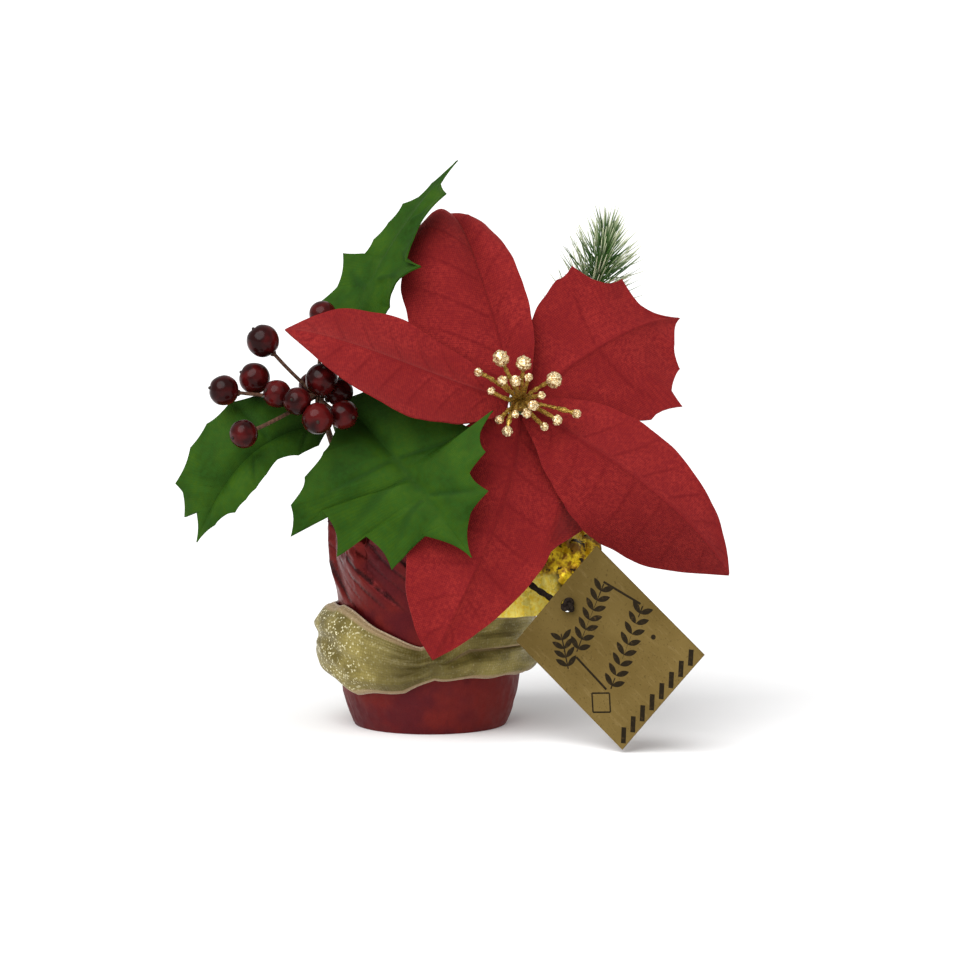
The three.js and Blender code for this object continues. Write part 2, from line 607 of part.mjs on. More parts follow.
function tagCard() {
  const { width, height, thick, holeR, holeDown, at } = TAG;
  const outline = new THREE.Shape([[-1, -1], [1, -1], [1, 1], [-1, 1]].map(
    ([x, y]) => new THREE.Vector2((x * width) / 2, (y * height) / 2)));
  outline.holes.push(new THREE.Path().absarc(0, height / 2 - holeDown, holeR, 0, 2 * Math.PI, true));
  const card = new THREE.ExtrudeGeometry(outline, { depth: thick, bevelEnabled: false, curveSegments: 7 });
  const tag = mesh("gift_tag", card.translate(0, 0, -thick / 2), COLOUR.card, 0.9);
  tag.applyMatrix4(new THREE.Matrix4().makeBasis(TAG_ACROSS, tagUp, TAG_FACE).setPosition(...at));
  return tag;
}

// The cord is looped round the bloom's stem and lies over the turned-down corner of the foil. Behind the
// card it turns forward on a wide bend, passes through the hole and ends in a knot.
function tagCord() {
  const hole = vec(TAG.at).addScaledVector(tagUp, TAG.height / 2 - TAG.holeDown);
  const forward = TAG_ACROSS.clone().multiplyScalar(0.65).addScaledVector(TAG_FACE, 0.76);
  const onBend = (turn) => hole.clone().addScaledVector(tagUp, CORD_BEND * (1 - Math.sin(turn)))
    .addScaledVector(forward, -CORD_BEND * Math.cos(turn));
  const bend = [0, 22.5, 45, 67.5, 90].map((turn) => onBend(turn * DEG).toArray());
  const end = hole.clone().addScaledVector(forward, 3.3);
  const carrier = through(BLOOM_STEM);
  const t = atHeight(carrier, CORD_LOOP_Z);
  const ring = new THREE.TorusGeometry(STEM_R.bloom + CORD_R + 2.7 * GAP, CORD_R, 6, 12);
  const loop = aimed(ring.rotateX(Math.PI / 2), carrier.getPoint(t), carrier.getTangent(t).negate());
  const curve = through([...CORD_ROUTE, ...bend, end.toArray()]);
  const knot = new THREE.IcosahedronGeometry(1.9, 1).translate(...end.toArray());
  return mesh("tag_cord", fuse([rod(curve, CORD_R, 8, 32), loop, knot]), COLOUR.cord, 0.8);
}

// ---------------------------------------------------------------- assembly

function mesh(name, geometry, colour, roughness, metalness = 0) {
  const material = new THREE.MeshStandardMaterial({ color: colour, roughness, metalness });
  const made = new THREE.Mesh(geometry, material);
  made.name = name;
  return made;
}

const poinsettia = new THREE.Group();
poinsettia.add(
  potCup(), foamBlock(), foilWrap(), ribbonBand(), tagCard(), tagCord(),
  bloomStem(), stamens(), ...Object.entries(BRACTS).map(([name, spec]) => bract(name, spec)),
  hollyStem(), ...Object.entries(HOLLY_LEAVES).map(([name, spec]) => hollyLeaf(name, spec)),
  berrySpray(), pineSprig(),
);

export default poinsettia;
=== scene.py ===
"""The looks of a small artificial poinsettia arrangement in a foil-wrapped pot.

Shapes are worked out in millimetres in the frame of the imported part, with +Z up and -Y out of the front,
and are scaled to metres when a mesh is made.
"""
import math
import random

import bmesh
import bpy
import numpy as np
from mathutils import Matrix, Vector, noise


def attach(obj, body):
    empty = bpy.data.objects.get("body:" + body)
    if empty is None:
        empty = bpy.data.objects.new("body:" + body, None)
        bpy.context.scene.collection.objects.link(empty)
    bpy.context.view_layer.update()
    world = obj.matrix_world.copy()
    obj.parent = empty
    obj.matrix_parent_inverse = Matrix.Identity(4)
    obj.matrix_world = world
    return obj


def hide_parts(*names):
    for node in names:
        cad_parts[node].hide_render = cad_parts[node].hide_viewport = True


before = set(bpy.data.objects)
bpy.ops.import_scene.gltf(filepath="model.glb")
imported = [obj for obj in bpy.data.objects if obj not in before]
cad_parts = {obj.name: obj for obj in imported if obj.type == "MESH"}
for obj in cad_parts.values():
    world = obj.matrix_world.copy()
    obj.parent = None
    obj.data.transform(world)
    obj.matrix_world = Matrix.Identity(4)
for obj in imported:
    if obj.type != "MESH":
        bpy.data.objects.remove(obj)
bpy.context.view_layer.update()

MM = 0.001

# -------- driving dimensions, as the solids have them

SHEET = 0.5  # the foil's thickness
PETAL = 0.55  # the bract cloth's thickness
LEAF = 0.5  # the leaf cloth's thickness
GAP = 0.3  # between pieces that rest on each other

WRAP_WALL = [(24.2, 0), (25, 0.9), (28.2, 11), (29.1, 20), (29.2, 30), (29.8, 40), (31.4, 52.5)]
WRAP_PLEATS = 9
PLEAT_LEAN = 0.034  # radians round the pot for each mm up
PLEAT_AT = -17  # the bearing of one pleat, in degrees
BAND_THICK = 5.4  # how far the ribbon's roll stands out

HUB = {"at": (28.3, -28, 105.6), "axis": (0.08, -0.95, 0.26), "radius": 3.4, "length": 7.5, "step": 2.1}
STEM_R = {"bloom": 1.5, "holly": 1.3, "berry": 1.0, "pine": 1.1}
FEET = {"bloom": (7.5, 3), "holly": (-8, -3), "berry": (-11, 5), "pine": (7, 15)}
FOOT = {"low": 12, "high": 49}  # the heights between which a stem stands upright in the foam

TAG = {"width": 41, "height": 48.5, "thick": 0.6, "hole_r": 2.1, "hole_down": 5.2, "at": (56, -55, 32.4)}
TAG_ACROSS = (0.604, -0.243, 0.76)
TAG_FACE = (-0.426, -0.904, 0.049)
CORD_R = 1.0
CORD_BEND = 6  # the radius of its bend into the tag's hole
CORD_LOOP_Z = 76.5  # the height of its loop round the bloom's stem
CORD_ROUTE = [
    (15, -4, 75.8), (16.8, -10, 75.2), (18.4, -16.5, 73.5), (20, -22.6, 70.6), (21.9, -28.2, 66.8),
    (24.3, -33.6, 63.3), (27.1, -38.1, 58.6), (29.1, -39.9, 54), (31.1, -40.3, 50.9), (33.5, -40.1, 48.8),
    (36.2, -40.2, 47.1),
]

# -------- numbers and curves


def unit(v):
    v = np.asarray(v, float)
    return v / np.maximum(np.linalg.norm(v, axis=-1, keepdims=True), 1e-12)


def mix(a, b, t):
    return a + (b - a) * t


def stacked(*parts):
    """Arrays that stretch to one shape, as one array of points."""
    return np.stack(np.broadcast_arrays(*parts), axis=-1)


def rise(x, low, high):
    t = np.clip((np.asarray(x, float) - low) / (high - low), 0, 1)
    return t * t * (3 - 2 * t)


def window(x, opens, full, fades, shut):
    """1 from full to fades, 0 before opens and after shut, and smooth between."""
    return rise(x, opens, full) * rise(-np.asarray(x, float), -shut, -fades)


def along(stations, x):
    """The value at x of a line through sorted (x, value) stations."""
    return np.interp(x, [s[0] for s in stations], [s[1] for s in stations])


def cubic(points, t):
    """A cubic Bezier curve at each t."""
    a, b, c, d = (np.asarray(p, float) for p in points)
    t = np.asarray(t, float)[..., None]
    s = 1 - t
    return s**3 * a + 3 * s * s * t * b + 3 * s * t * t * c + t**3 * d


def through(points, per_span=24):
    """A centripetal Catmull-Rom curve through points, as closely spaced points."""
    p = np.asarray(points, float)
    p = np.vstack([2 * p[0] - p[1], p, 2 * p[-1] - p[-2]])
    line = []
    for i in range(1, len(p) - 2):
        gaps = [np.sqrt(np.linalg.norm(p[k + 1] - p[k])) for k in (i - 1, i, i + 1)]
        g0, g1, g2 = gaps
        m1 = g1 * ((p[i] - p[i - 1]) / g0 - (p[i + 1] - p[i - 1]) / (g0 + g1) + (p[i + 1] - p[i]) / g1)
        m2 = g1 * ((p[i + 1] - p[i]) / g1 - (p[i + 2] - p[i]) / (g1 + g2) + (p[i + 2] - p[i + 1]) / g2)
        t = np.linspace(0, 1, per_span, endpoint=False)[:, None]
        line.append(
            p[i] + m1 * t + (-3 * p[i] + 3 * p[i + 1] - 2 * m1 - m2) * t**2
            + (2 * p[i] - 2 * p[i + 1] + m1 + m2) * t**3
        )
    return np.vstack([*line, p[-2]])


def travelled(line):
    steps = np.linalg.norm(np.diff(line, axis=0), axis=1)
    return np.concatenate([[0], np.cumsum(steps)])


def even(line, step):
    """A line with its points a step apart."""
    run = travelled(line)
    at = np.linspace(0, run[-1], max(2, round(run[-1] / step) + 1))
    return np.stack([np.interp(at, run, line[:, k]) for k in range(3)], axis=1)


def at_height(line, height):
    """The point and the direction where a falling line passes a height."""
    i = int(np.argmin(abs(line[:, 2] - height)))
    i = min(max(i, 1), len(line) - 2)
    return line[i], unit(line[i + 1] - line[i - 1])


def frames(line):
    """Two directions across a line at each point, carried along it without twist."""
    ahead = unit(np.gradient(line, axis=0))
    side = unit(np.cross(ahead[0], (0.3, 0.5, 0.8) if abs(ahead[0][2]) < 0.9 else (1, 0, 0)))
    sides = []
    for d in ahead:
        side = unit(side - d * side.dot(d))
        sides.append(side)
    sides = np.array(sides)
    return ahead, sides, np.cross(ahead, sides)


def ring_quads(rings, around):
    """Quads between closed rings of points that are counted ring by ring."""
    m = around
    return [(i * m + k, i * m + (k + 1) % m, (i + 1) * m + (k + 1) % m, (i + 1) * m + k)
            for i in range(rings - 1) for k in range(m)]


# -------- meshes


class Piece:
    """Gathers points and faces, in millimetres, and makes one mesh of them.

    Each point carries lay: its place across and along the cloth in mm, and how far it lies on a vein."""

    def __init__(self, name):
        self.name, self.points, self.faces, self.kinds, self.lay, self.count = name, [], [], [], [], 0

    def add(self, points, faces, kind=0, lay=None):
        points = np.asarray(points, float).reshape(-1, 3)
        self.points.append(points)
        self.lay.append(np.zeros((len(points), 3)) if lay is None else np.asarray(lay).reshape(-1, 3))
        self.faces += [tuple(int(i) + self.count for i in face) for face in faces]
        self.kinds += [kind] * len(faces) if np.isscalar(kind) else list(kind)
        self.count += len(points)

    def tube(self, line, radius, sides=10, lobes=0, depth=0.0, pitch=1.0, flat=1.0, mark=0.0):
        """A closed tube along a line. Lobes wind round it once in each pitch, as in a twisted cord.

        flat squashes it, and mark is the last number of its lay."""
        run = travelled(line)
        radius = np.broadcast_to(np.asarray(radius, float), len(line))
        _, side, other = frames(line)
        turn = np.arange(sides) / sides * 2 * math.pi
        wound = 2 * math.pi * run[:, None] / (pitch * max(lobes, 1))
        swell = 1 + depth * np.cos(lobes * (turn[None] - wound))
        reach = radius[:, None] * swell
        rings = line[:, None] + reach[..., None] * (
            np.cos(turn)[None, :, None] * side[:, None] + flat * np.sin(turn)[None, :, None] * other[:, None]
        )
        mark = np.reshape(mark, (-1, 1))
        lay = stacked(turn[None] * radius[:, None], run[:, None], mark)
        n, m = rings.shape[:2]
        faces = [*ring_quads(n, m), tuple(range(m))[::-1], tuple((n - 1) * m + k for k in range(m))]
        self.add(rings, faces, 0, lay)

    def ball(self, centre, radius, rows=26, around=34, kind=0, warp=None):
        """A ball. warp gives a factor for the radius in each unit direction."""
        phi = np.linspace(0, math.pi, rows + 1)[1:-1]
        turn = np.arange(around) / around * 2 * math.pi
        level, out = np.cos(phi)[:, None], np.sin(phi)[:, None]
        ring = stacked(out * np.cos(turn), out * np.sin(turn), level)
        way = np.vstack([(0, 0, 1), ring.reshape(-1, 3), (0, 0, -1)])
        size = radius * (np.ones(len(way)) if warp is None else warp(way))
        m, last = around, 1 + (rows - 1) * around
        faces = [(0, 1 + k, 1 + (k + 1) % m) for k in range(m)]
        faces += [(a + 1, d + 1, c + 1, b + 1) for a, b, c, d in ring_quads(rows - 1, m)]
        faces += [(last, last - m + (k + 1) % m, last - m + k) for k in range(m)]
        self.add(np.asarray(centre) + way * size[:, None], faces, kind)

    def sheet(self, grid, thickness, lay, kinds=(0, 0), ring=False):
        """A grid of points, [row, column], made a thin closed solid. kinds are its front's and its back's."""
        up = sheet_normals(grid, ring)
        n, m = grid.shape[:2]
        flat = np.arange(n * m).reshape(n, m)
        right = np.roll(flat, -1, axis=1) if ring else flat[:, 1:]
        left = flat if ring else flat[:, :-1]
        quads = np.stack([left[:-1], left[1:], right[1:], right[:-1]], axis=-1).reshape(-1, 4)
        size = n * m
        rim = [(right[0], left[0]), (left[-1], right[-1])]
        rim = [np.stack([a, b], axis=-1) for a, b in rim]
        if not ring:
            rim += [np.stack([flat[:-1, 0], flat[1:, 0]], -1), np.stack([flat[1:, -1], flat[:-1, -1]], -1)]
        edge = np.vstack(rim)
        around = np.stack([edge[:, 1], edge[:, 0], edge[:, 0] + size, edge[:, 1] + size], axis=-1)
        points = np.vstack([(grid + up * side * thickness / 2).reshape(-1, 3) for side in (1, -1)])
        faces = [*quads, *(quads[:, ::-1] + size), *around]
        kind = [kinds[0]] * len(quads) + [kinds[1]] * (len(quads) + len(around))
        self.add(points, faces, kind, np.vstack([lay.reshape(-1, 3)] * 2))

    def build(self, looks, slot, nodes, sharp=40):
        """Makes the mesh, which rides on the frame and stands for the nodes."""
        mesh = bpy.data.meshes.new(self.name)
        mesh.from_pydata(np.vstack(self.points) * MM, [], self.faces)
        for look in looks:
            mesh.materials.append(look)
        mesh.polygons.foreach_set("material_index", self.kinds)
        lay = mesh.attributes.new("lay", "FLOAT_VECTOR", "POINT")
        lay.data.foreach_set("vector", np.vstack(self.lay).astype(np.float32).ravel())
        weld(mesh)
        mesh.validate()
        mesh.shade_smooth()
        mesh.set_sharp_from_angle(angle=math.radians(sharp))
        made = bpy.data.objects.new(self.name, mesh)
        bpy.context.scene.collection.objects.link(made)
        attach(made, "root")
        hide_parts(*nodes)
        return made


def weld(mesh):
    """Merges points that coincide, as at a blade's tip."""
    work = bmesh.new()
    work.from_mesh(mesh)
    bmesh.ops.remove_doubles(work, verts=work.verts, dist=1e-7)
    bmesh.ops.dissolve_degenerate(work, edges=work.edges, dist=1e-8)
    work.to_mesh(mesh)
    work.free()


def sheet_normals(grid, ring):
    if ring:
        across = np.roll(grid, -1, axis=1) - np.roll(grid, 1, axis=1)
    else:
        across = np.gradient(grid, axis=1)
    ahead = np.gradient(grid, axis=0)
    up = np.cross(ahead, across)
    for row, near in ((0, 1), (-1, -2)):  # a pole takes its neighbours' mean
        thin = np.linalg.norm(up[row], axis=-1) < 1e-6
        up[row][thin] = up[near].mean(axis=0)
    return unit(up)


# -------- node materials


class Look:
    """A material, and short ways to add the nodes that feed its shader."""

    def __init__(self, name, **plain):
        self.material = bpy.data.materials.new(name)
        self.material.use_nodes = True
        self.tree = self.material.node_tree
        self.shader = next(n for n in self.tree.nodes if n.type == "BSDF_PRINCIPLED")
        self.object = self.make("TexCoord").outputs["Object"]
        self.give(**plain)

    def make(self, kind, sockets=None, **props):
        node = self.tree.nodes.new("ShaderNode" + kind)
        for key, value in props.items():
            setattr(node, key, value)
        for key, value in (sockets or {}).items():
            self.feed(node.inputs[key], value)
        return node

    def feed(self, socket, value):
        if isinstance(value, bpy.types.NodeSocket):
            self.tree.links.new(value, socket)
        elif isinstance(value, tuple) and len(value) == 3 and socket.type == "RGBA":
            socket.default_value = (*value, 1)
        else:
            socket.default_value = value

    def give(self, **sockets):
        """Feeds the shader's own sockets, named with _ for a space."""
        for key, value in sockets.items():
            self.feed(self.shader.inputs[key.replace("_", " ")], value)
        return self

    def lay(self):
        return self.make("Attribute", attribute_name="lay").outputs["Vector"]

    def laid(self):
        return self.parts(self.lay())

    def parts(self, vector):
        return self.make("SeparateXYZ", {0: vector}).outputs

    def scaled(self, vector, factor):
        return self.make("VectorMath", {0: vector, 1: factor}, operation="MULTIPLY").outputs[0]

    def noise(self, scale, detail=3.0, rough=0.55, vector=None):
        sockets = {"Vector": vector or self.object, "Scale": scale, "Detail": detail, "Roughness": rough}
        return self.make("TexNoise", sockets).outputs["Fac"]

    def cells(self, scale, feature="F1"):
        return self.make("TexVoronoi", {"Vector": self.object, "Scale": scale}, feature=feature).outputs

    def flakes(self, scale):
        """Three numbers that change at random from cell to cell."""
        return self.parts(self.cells(scale)["Color"])

    def calc(self, operation, a, b=0.0):
        return self.make("Math", {0: a, 1: b}, operation=operation).outputs[0]

    def ramp(self, value, low=0.3, high=0.7, start=0.0, end=1.0):
        """A number that goes smoothly from start to end while the value goes from low to high."""
        sockets = {"Value": value, "From Min": low, "From Max": high, "To Min": start, "To Max": end}
        return self.make("MapRange", sockets, interpolation_type="SMOOTHSTEP").outputs[0]

    def blend(self, factor, a, b):
        return self.make("Mix", {0: factor, 6: a, 7: b}, data_type="RGBA").outputs[2]

    def layers(self, colour, *tones):
        """Lays tones over a colour in turn. Each is (tone, mask, and what the mask's ramp is given)."""
        for tone, mask, *limits in tones:
            colour = self.blend(self.ramp(mask, *limits), colour, tone)
        return colour

    def finish(self, colours, bumps=(), **sockets):
        """Sets the colour from layers and the normal from bumps, each (height, depth in mm, strength)."""
        normal = None
        for height, depth, strength in bumps:
            below = {"Normal": normal} if normal else {}
            sunk = {"Height": height, "Distance": depth * MM, "Strength": strength}
            normal = self.make("Bump", {**sunk, **below}).outputs[0]
        if normal:
            sockets["Normal"] = normal
        return self.give(Base_Color=self.layers(*colours), **sockets).material


def woven(look, pitch, vector):
    """Height of a plain weave, from 0 between threads to 1 on them, laid across and along the cloth."""
    x, y, _ = look.parts(look.scaled(vector, (math.pi / pitch,) * 3))
    warp, weft = (look.calc("ABSOLUTE", look.calc("SINE", way)) for way in (x, y))
    return look.calc("MULTIPLY", warp, weft)


def bract_cloth():
    look = Look("bract_cloth", Roughness=0.85, Specular_IOR_Level=0.08, Sheen_Weight=0.22,
                Sheen_Roughness=0.4, Sheen_Tint=(1.0, 0.28, 0.24))
    vein, weave = look.laid()[2], woven(look, 0.62, look.lay())
    broad, fine = look.noise(90), look.noise(900, 4, 0.7)
    return look.finish([
        (0.200, 0.012, 0.011),
        ((0.268, 0.020, 0.017), broad),
        ((0.17, 0.009, 0.011), fine, 0.35, 0.65),
        # painted shade: the pressed vein grooves are painted darker
        ((0.12, 0.004, 0.006), vein, 0.05, 1, 0, 0.55),
        ((0.10, 0.004, 0.006), weave, 0, 0.6, 0.35, 0),
    ], [(weave, 0.10, 0.7), (fine, 0.12, 0.6)])


def leaf_cloth():
    look = Look("leaf_cloth", Specular_IOR_Level=0.05)
    _, from_foot, vein = look.laid()
    weave, broad, fine = woven(look, 0.5, look.lay()), look.noise(75), look.noise(700, 4, 0.65)
    return look.finish([
        (0.013, 0.040, 0.002),
        ((0.035, 0.084, 0.004), broad),
        ((0.020, 0.070, 0.008), fine, 0.35, 0.7, 0, 0.6),
        # painted shade: the pressed vein grooves are painted darker
        ((0.012, 0.040, 0.005), vein, 0.3, 1, 0, 0.6),
        # painted shade: darkest at the leaf's foot, gone by 26 mm along it
        ((0.007, 0.020, 0.002), from_foot, 4, 26, 0.74, 0),
        ((0.010, 0.045, 0.006), weave, 0, 0.6, 0.3, 0),
    ], [(weave, 0.06, 0.6), (fine, 0.12, 0.5)], Roughness=look.ramp(fine, start=0.52, end=0.7))


def berry_skin():
    look = Look("berry_skin", Coat_Weight=0.08, Coat_Roughness=0.06, Specular_IOR_Level=0.08)
    broad, fine = look.noise(160, 2), look.noise(900)
    colours = [(0.014, 0.0015, 0.0015), ((0.075, 0.004, 0.004), broad, 0.35, 0.7)]
    return look.finish(colours, [(fine, 0.05, 0.4)], Roughness=look.ramp(fine, start=0.16, end=0.3))


def glitter(name, dark, bright, grain, shine=0.25):
    """Flakes of metal, each with a brightness, a gloss and a tilt of its own."""
    look = Look(name, Metallic=0.85)
    tone, gloss, tilt = look.flakes(grain)
    rough = look.ramp(gloss, 0, 1, shine, shine + 0.3)
    return look.finish([dark, (bright, tone, 0.1, 0.9)], [(tilt, 0.25, 1)], Roughness=rough)


def wire_wrap(name, dark, light, pitch=1.6):
    """Tape wound round a wire."""
    look = Look(name, Roughness=0.75, Specular_IOR_Level=0.3)
    around, run, _ = look.laid()
    turn = look.calc("ADD", look.calc("MULTIPLY", run, 2 * math.pi / pitch), around)
    winding, fine = look.ramp(look.calc("SINE", turn), -1, 1), look.noise(1200)
    colours = [dark, (light, fine), (dark, winding, 0, 0.35, 0.4, 0)]
    return look.finish(colours, [(winding, 0.12, 0.8), (fine, 0.06, 0.5)])


def foil_outside():
    """Burgundy foil, duller near the floor, with painted shade darkening its creases where its lay says."""
    look = Look("foil_outside", Specular_IOR_Level=0.15, Coat_Weight=0.04, Coat_Roughness=0.3)
    near_floor = (look.parts(look.object)[2], 12 * MM, 24 * MM)
    broad, fine, dust = look.noise(60), look.noise(420, 4, 0.6), look.noise(2600, 2)
    broken = look.ramp(look.noise(130, 2), 0.36, 0.5, 0.25, 1)
    line = look.calc("MULTIPLY", look.laid()[0], broken)
    rough = look.calc("ADD", look.ramp(fine, start=0.32, end=0.48), look.ramp(*near_floor, 0.2, 0))
    return look.finish([
        (0.088, 0.006, 0.009),
        ((0.150, 0.011, 0.008), broad, 0.38, 0.62),
        ((0.05, 0.003, 0.005), dust, 0.4, 0.7, 0, 0.3),
        # painted shade in the creases
        ((0.022, 0.002, 0.003), line, 0.1, 0.9, 0, 0.85),
    ], [(look.calc("MULTIPLY", line, -1), 0.8, 0.6), (fine, 0.25, 0.5), (dust, 0.04, 0.4)],
        Roughness=rough, Metallic=look.ramp(*near_floor, 0.3, 0.6))


def foil_lining():
    """Gold foil: plain and bright where it is flat; where crumpled, painted reflections and painted shade
    mottle it with brown and black.
    """
    look = Look("foil_lining", Metallic=0.35, Specular_IOR_Level=0.18)
    crumpled = look.ramp(look.laid()[2], 0.15, 0.75)
    tone, gloss, tilt = look.flakes(420)
    fine, blotch, spot = look.noise(900), look.noise(210, 3, 0.6), look.noise(330, 2, 0.5)
    plain = look.layers((0.90, 0.64, 0.04), ((1.0, 0.86, 0.20), fine))
    # painted light: crumpled facets painted bright and dark, with brown blotches and black spots as painted
    # shade
    painted_crumple_light = look.layers(
        (0.50, 0.30, 0.004),
        ((0.77, 0.55, 0.017), tone, 0.1, 0.9),
        ((0.19, 0.085, 0.002), blotch, 0.44, 0.56, 1, 0),
        ((0.020, 0.009, 0.001), spot, 0.56, 0.63),
    )
    colour = look.blend(crumpled, plain, painted_crumple_light)
    rough = look.ramp(gloss, 0, 1, 0.24, 0.42)
    return look.finish([colour], [(tilt, 0.4, 0.5), (fine, 0.10, 0.4)], Roughness=rough)


def mesh_ribbon():
    """Woven gold mesh, with painted glints on its flakes, thickest at the left, and painted shade over its
    middle.
    """
    look = Look("mesh_ribbon", Metallic=0.2, Specular_IOR_Level=0.25)
    around, _, edge = look.laid()
    weave, broad = woven(look, 0.9, look.lay()), look.noise(110)
    bright, gloss, tilt = look.flakes(2000)
    # painted highlights: the flakes glint most at the left, where the light falls
    left = look.calc("MULTIPLY", look.ramp(around, -36, -12, 1, 0.12), look.ramp(around, -104, -66, 0.12, 1))
    painted_glint = look.calc("MULTIPLY", look.ramp(bright, 0.84, 0.98), left)
    # painted shade over the ribbon's middle at the front
    shade = look.calc("MULTIPLY", look.ramp(around, -26, -10), look.ramp(around, 0, 10, 0.62, 0))
    mesh = look.layers(
        (0.130, 0.100, 0.020),
        ((0.29, 0.235, 0.065), broad),
        ((0.09, 0.068, 0.016), weave, 0.02, 0.4, 0.3, 0),
    )
    mesh = look.blend(shade, look.blend(painted_glint, mesh, (0.80, 0.74, 0.48)), (0.050, 0.036, 0.006))
    return look.finish([mesh, ((0.42, 0.30, 0.17), edge, 0.2, 0.9, 0, 0.75)],
                       [(weave, 0.12, 0.6), (tilt, 0.15, 0.6)], Roughness=look.ramp(gloss, 0, 1, 0.35, 0.6))


def selvage():
    look = Look("selvage", Roughness=0.6, Sheen_Weight=0.2)
    turns = look.ramp(look.calc("SINE", look.calc("MULTIPLY", look.laid()[1], 7)), -1, 1)
    return look.finish([(0.27, 0.19, 0.11), ((0.42, 0.31, 0.19), look.noise(1500))], [(turns, 0.1, 0.6)])


def kraft_card():
    """Kraft card with fibres along it, with painted shade darkening it towards its upper right corner."""
    look = Look("kraft_card", Roughness=0.9, Specular_IOR_Level=0.03)
    x, y, _ = look.laid()
    corner = look.calc("ADD", look.calc("MULTIPLY", x, 0.35), y)
    fibre = look.noise(500, 4, 0.7, look.scaled(look.lay(), (0.0015, 0.0003, 0.001)))
    grain, broad = look.noise(1500), look.noise(60, 2)
    return look.finish([
        (0.115, 0.076, 0.022),
        ((0.150, 0.102, 0.032), broad),
        ((0.20, 0.14, 0.055), fibre, 0.52, 0.72, 0, 0.5),
        ((0.06, 0.038, 0.012), grain, 0.58, 0.72, 0, 0.6),
        # painted shade towards the card's upper right corner
        ((0.052, 0.034, 0.008), corner, -12, 22, 0.05, 0.38),
    ], [(grain, 0.05, 0.5)])


def ink():
    look = Look("ink", Roughness=0.7, Specular_IOR_Level=0.08)
    worn = look.noise(900, 4, 0.7)
    return look.finish([(0.012, 0.008, 0.003), ((0.050, 0.030, 0.010), worn, 0.5, 0.8)])


def waxed_cord():
    look = Look("waxed_cord", Roughness=0.8, Specular_IOR_Level=0.1)
    around, run, _ = look.laid()
    turn = look.calc("ADD", look.calc("MULTIPLY", run, 9), look.calc("MULTIPLY", around, 6))
    strand, hair = look.calc("SINE", turn), look.noise(2200)
    colours = [(0.006, 0.004, 0.003), ((0.022, 0.014, 0.009), hair, 0.35, 0.7)]
    return look.finish(colours, [(strand, 0.06, 0.6), (hair, 0.05, 0.5)])


def pine_plastic():
    """Green needles with pale tips."""
    look = Look("pine_plastic", Roughness=0.45, Specular_IOR_Level=0.4)
    colours = [(0.028, 0.085, 0.014), ((0.075, 0.17, 0.035), look.noise(150))]
    return look.finish([*colours, ((0.68, 0.72, 0.48), look.laid()[2], 0.40, 0.90, 0, 0.92)])


def pot_plastic():
    look = Look("pot_plastic")
    grain, broad = look.noise(1600), look.noise(80, 2)
    colours = [(0.030, 0.018, 0.014), ((0.045, 0.028, 0.022), broad)]
    return look.finish(colours, [(grain, 0.04, 0.5)], Roughness=look.ramp(grain, start=0.42, end=0.6))


def dry_foam():
    look = Look("dry_foam", Roughness=0.95, Specular_IOR_Level=0.1)
    pores, crumbs = look.cells(1100, "DISTANCE_TO_EDGE")["Distance"], look.noise(500, 4, 0.7)
    colours = [
        (0.055, 0.085, 0.028), ((0.12, 0.16, 0.06), crumbs), ((0.02, 0.03, 0.01), pores, 0, 0.2, 0.6, 0),
    ]
    return look.finish(colours, [(pores, 0.3, 0.6), (crumbs, 0.5, 0.8)])


# -------- blades: bracts and leaves

HUB_AT = np.array(HUB["at"], float)
HUB_AXIS = unit(HUB["axis"])

# A blade's midrib is a cubic from its root through rib. Each edge is a cubic through port or star, or runs
# through the corners in edges: (place along the midrib, port corner, star corner).
BRACTS = {
    "bract_left": {
        "layer": 0, "bulge": (1, 1), "ripple": 0.5,
        "rib": [(3, -41, 113.5), (-24, -48, 129), (-44.8, -34, 129.3)],
        "port": [(-2, -62, 95), (-24.5, -64.5, 115)],
        "star": [(-0.5, -32, 126.5), (-17, -16, 144.5)],
    },
    "bract_top": {
        "layer": 1, "bulge": (-4.5, -2), "ripple": 0.5,
        "rib": [(24, -27, 117.5), (8, 1, 182), (3.2, 12, 157.1)],
        "port": [(-31.5, -18.5, 122), (0.5, -13.5, 179.5)],
        "star": [(39.5, -36, 133), (20.5, -1, 176)],
    },
    "bract_upper_right": {
        "layer": 2, "bulge": (1, 1), "ripple": 0.4, "smooth_until": 0.47, "sag": 0.1,
        "rib": [(50.5, -25, 122.5), (66, -18, 132), (79.5, -3, 130.5)],
        "edges": [
            (0.1, (30, -24, 118), (41, -26, 105.5)),
            (0.22, (31, -22, 127.5), (50.5, -27, 103)),
            (0.35, (35, -20, 137), (60, -26, 100.5)),
            (0.46, (40, -18, 143.5), (69.5, -23, 99.5)),
            (0.52, (45, -16, 148), (80, -18, 103.5)),
            (0.56, (54, -15, 143), (76.5, -17, 108.5)),
            (0.68, (61, -10, 143.5), (79.5, -11, 115)),
            (0.74, (67, -11, 135.5), (77.5, -11, 122.5)),
        ],
    },
    "bract_lower_right": {
        "layer": 0, "bulge": (1, 1), "ripple": 0.5,
        "rib": [(55, -47.5, 92), (82.5, -55, 75), (93.7, -40, 53.1)],
        "port": [(69.5, -28, 111), (93, -44, 80.5)],
        "star": [(42, -49, 75.5), (45, -20.5, 52)],
    },
    "bract_bottom": {
        "layer": 1, "bulge": (1, 1), "ripple": 0.5,
        "rib": [(27.5, -42, 76.5), (11, -58, 51.5), (1.3, -45, 27.1)],
        "port": [(60, -27, 73.5), (30, -58, 43)],
        "star": [(4, -33, 108), (-20, -58.5, 56)],
        "curl": {"side": 0, "stretch": (0.14, 0.50), "by": (10, 17, -1)},
    },
}

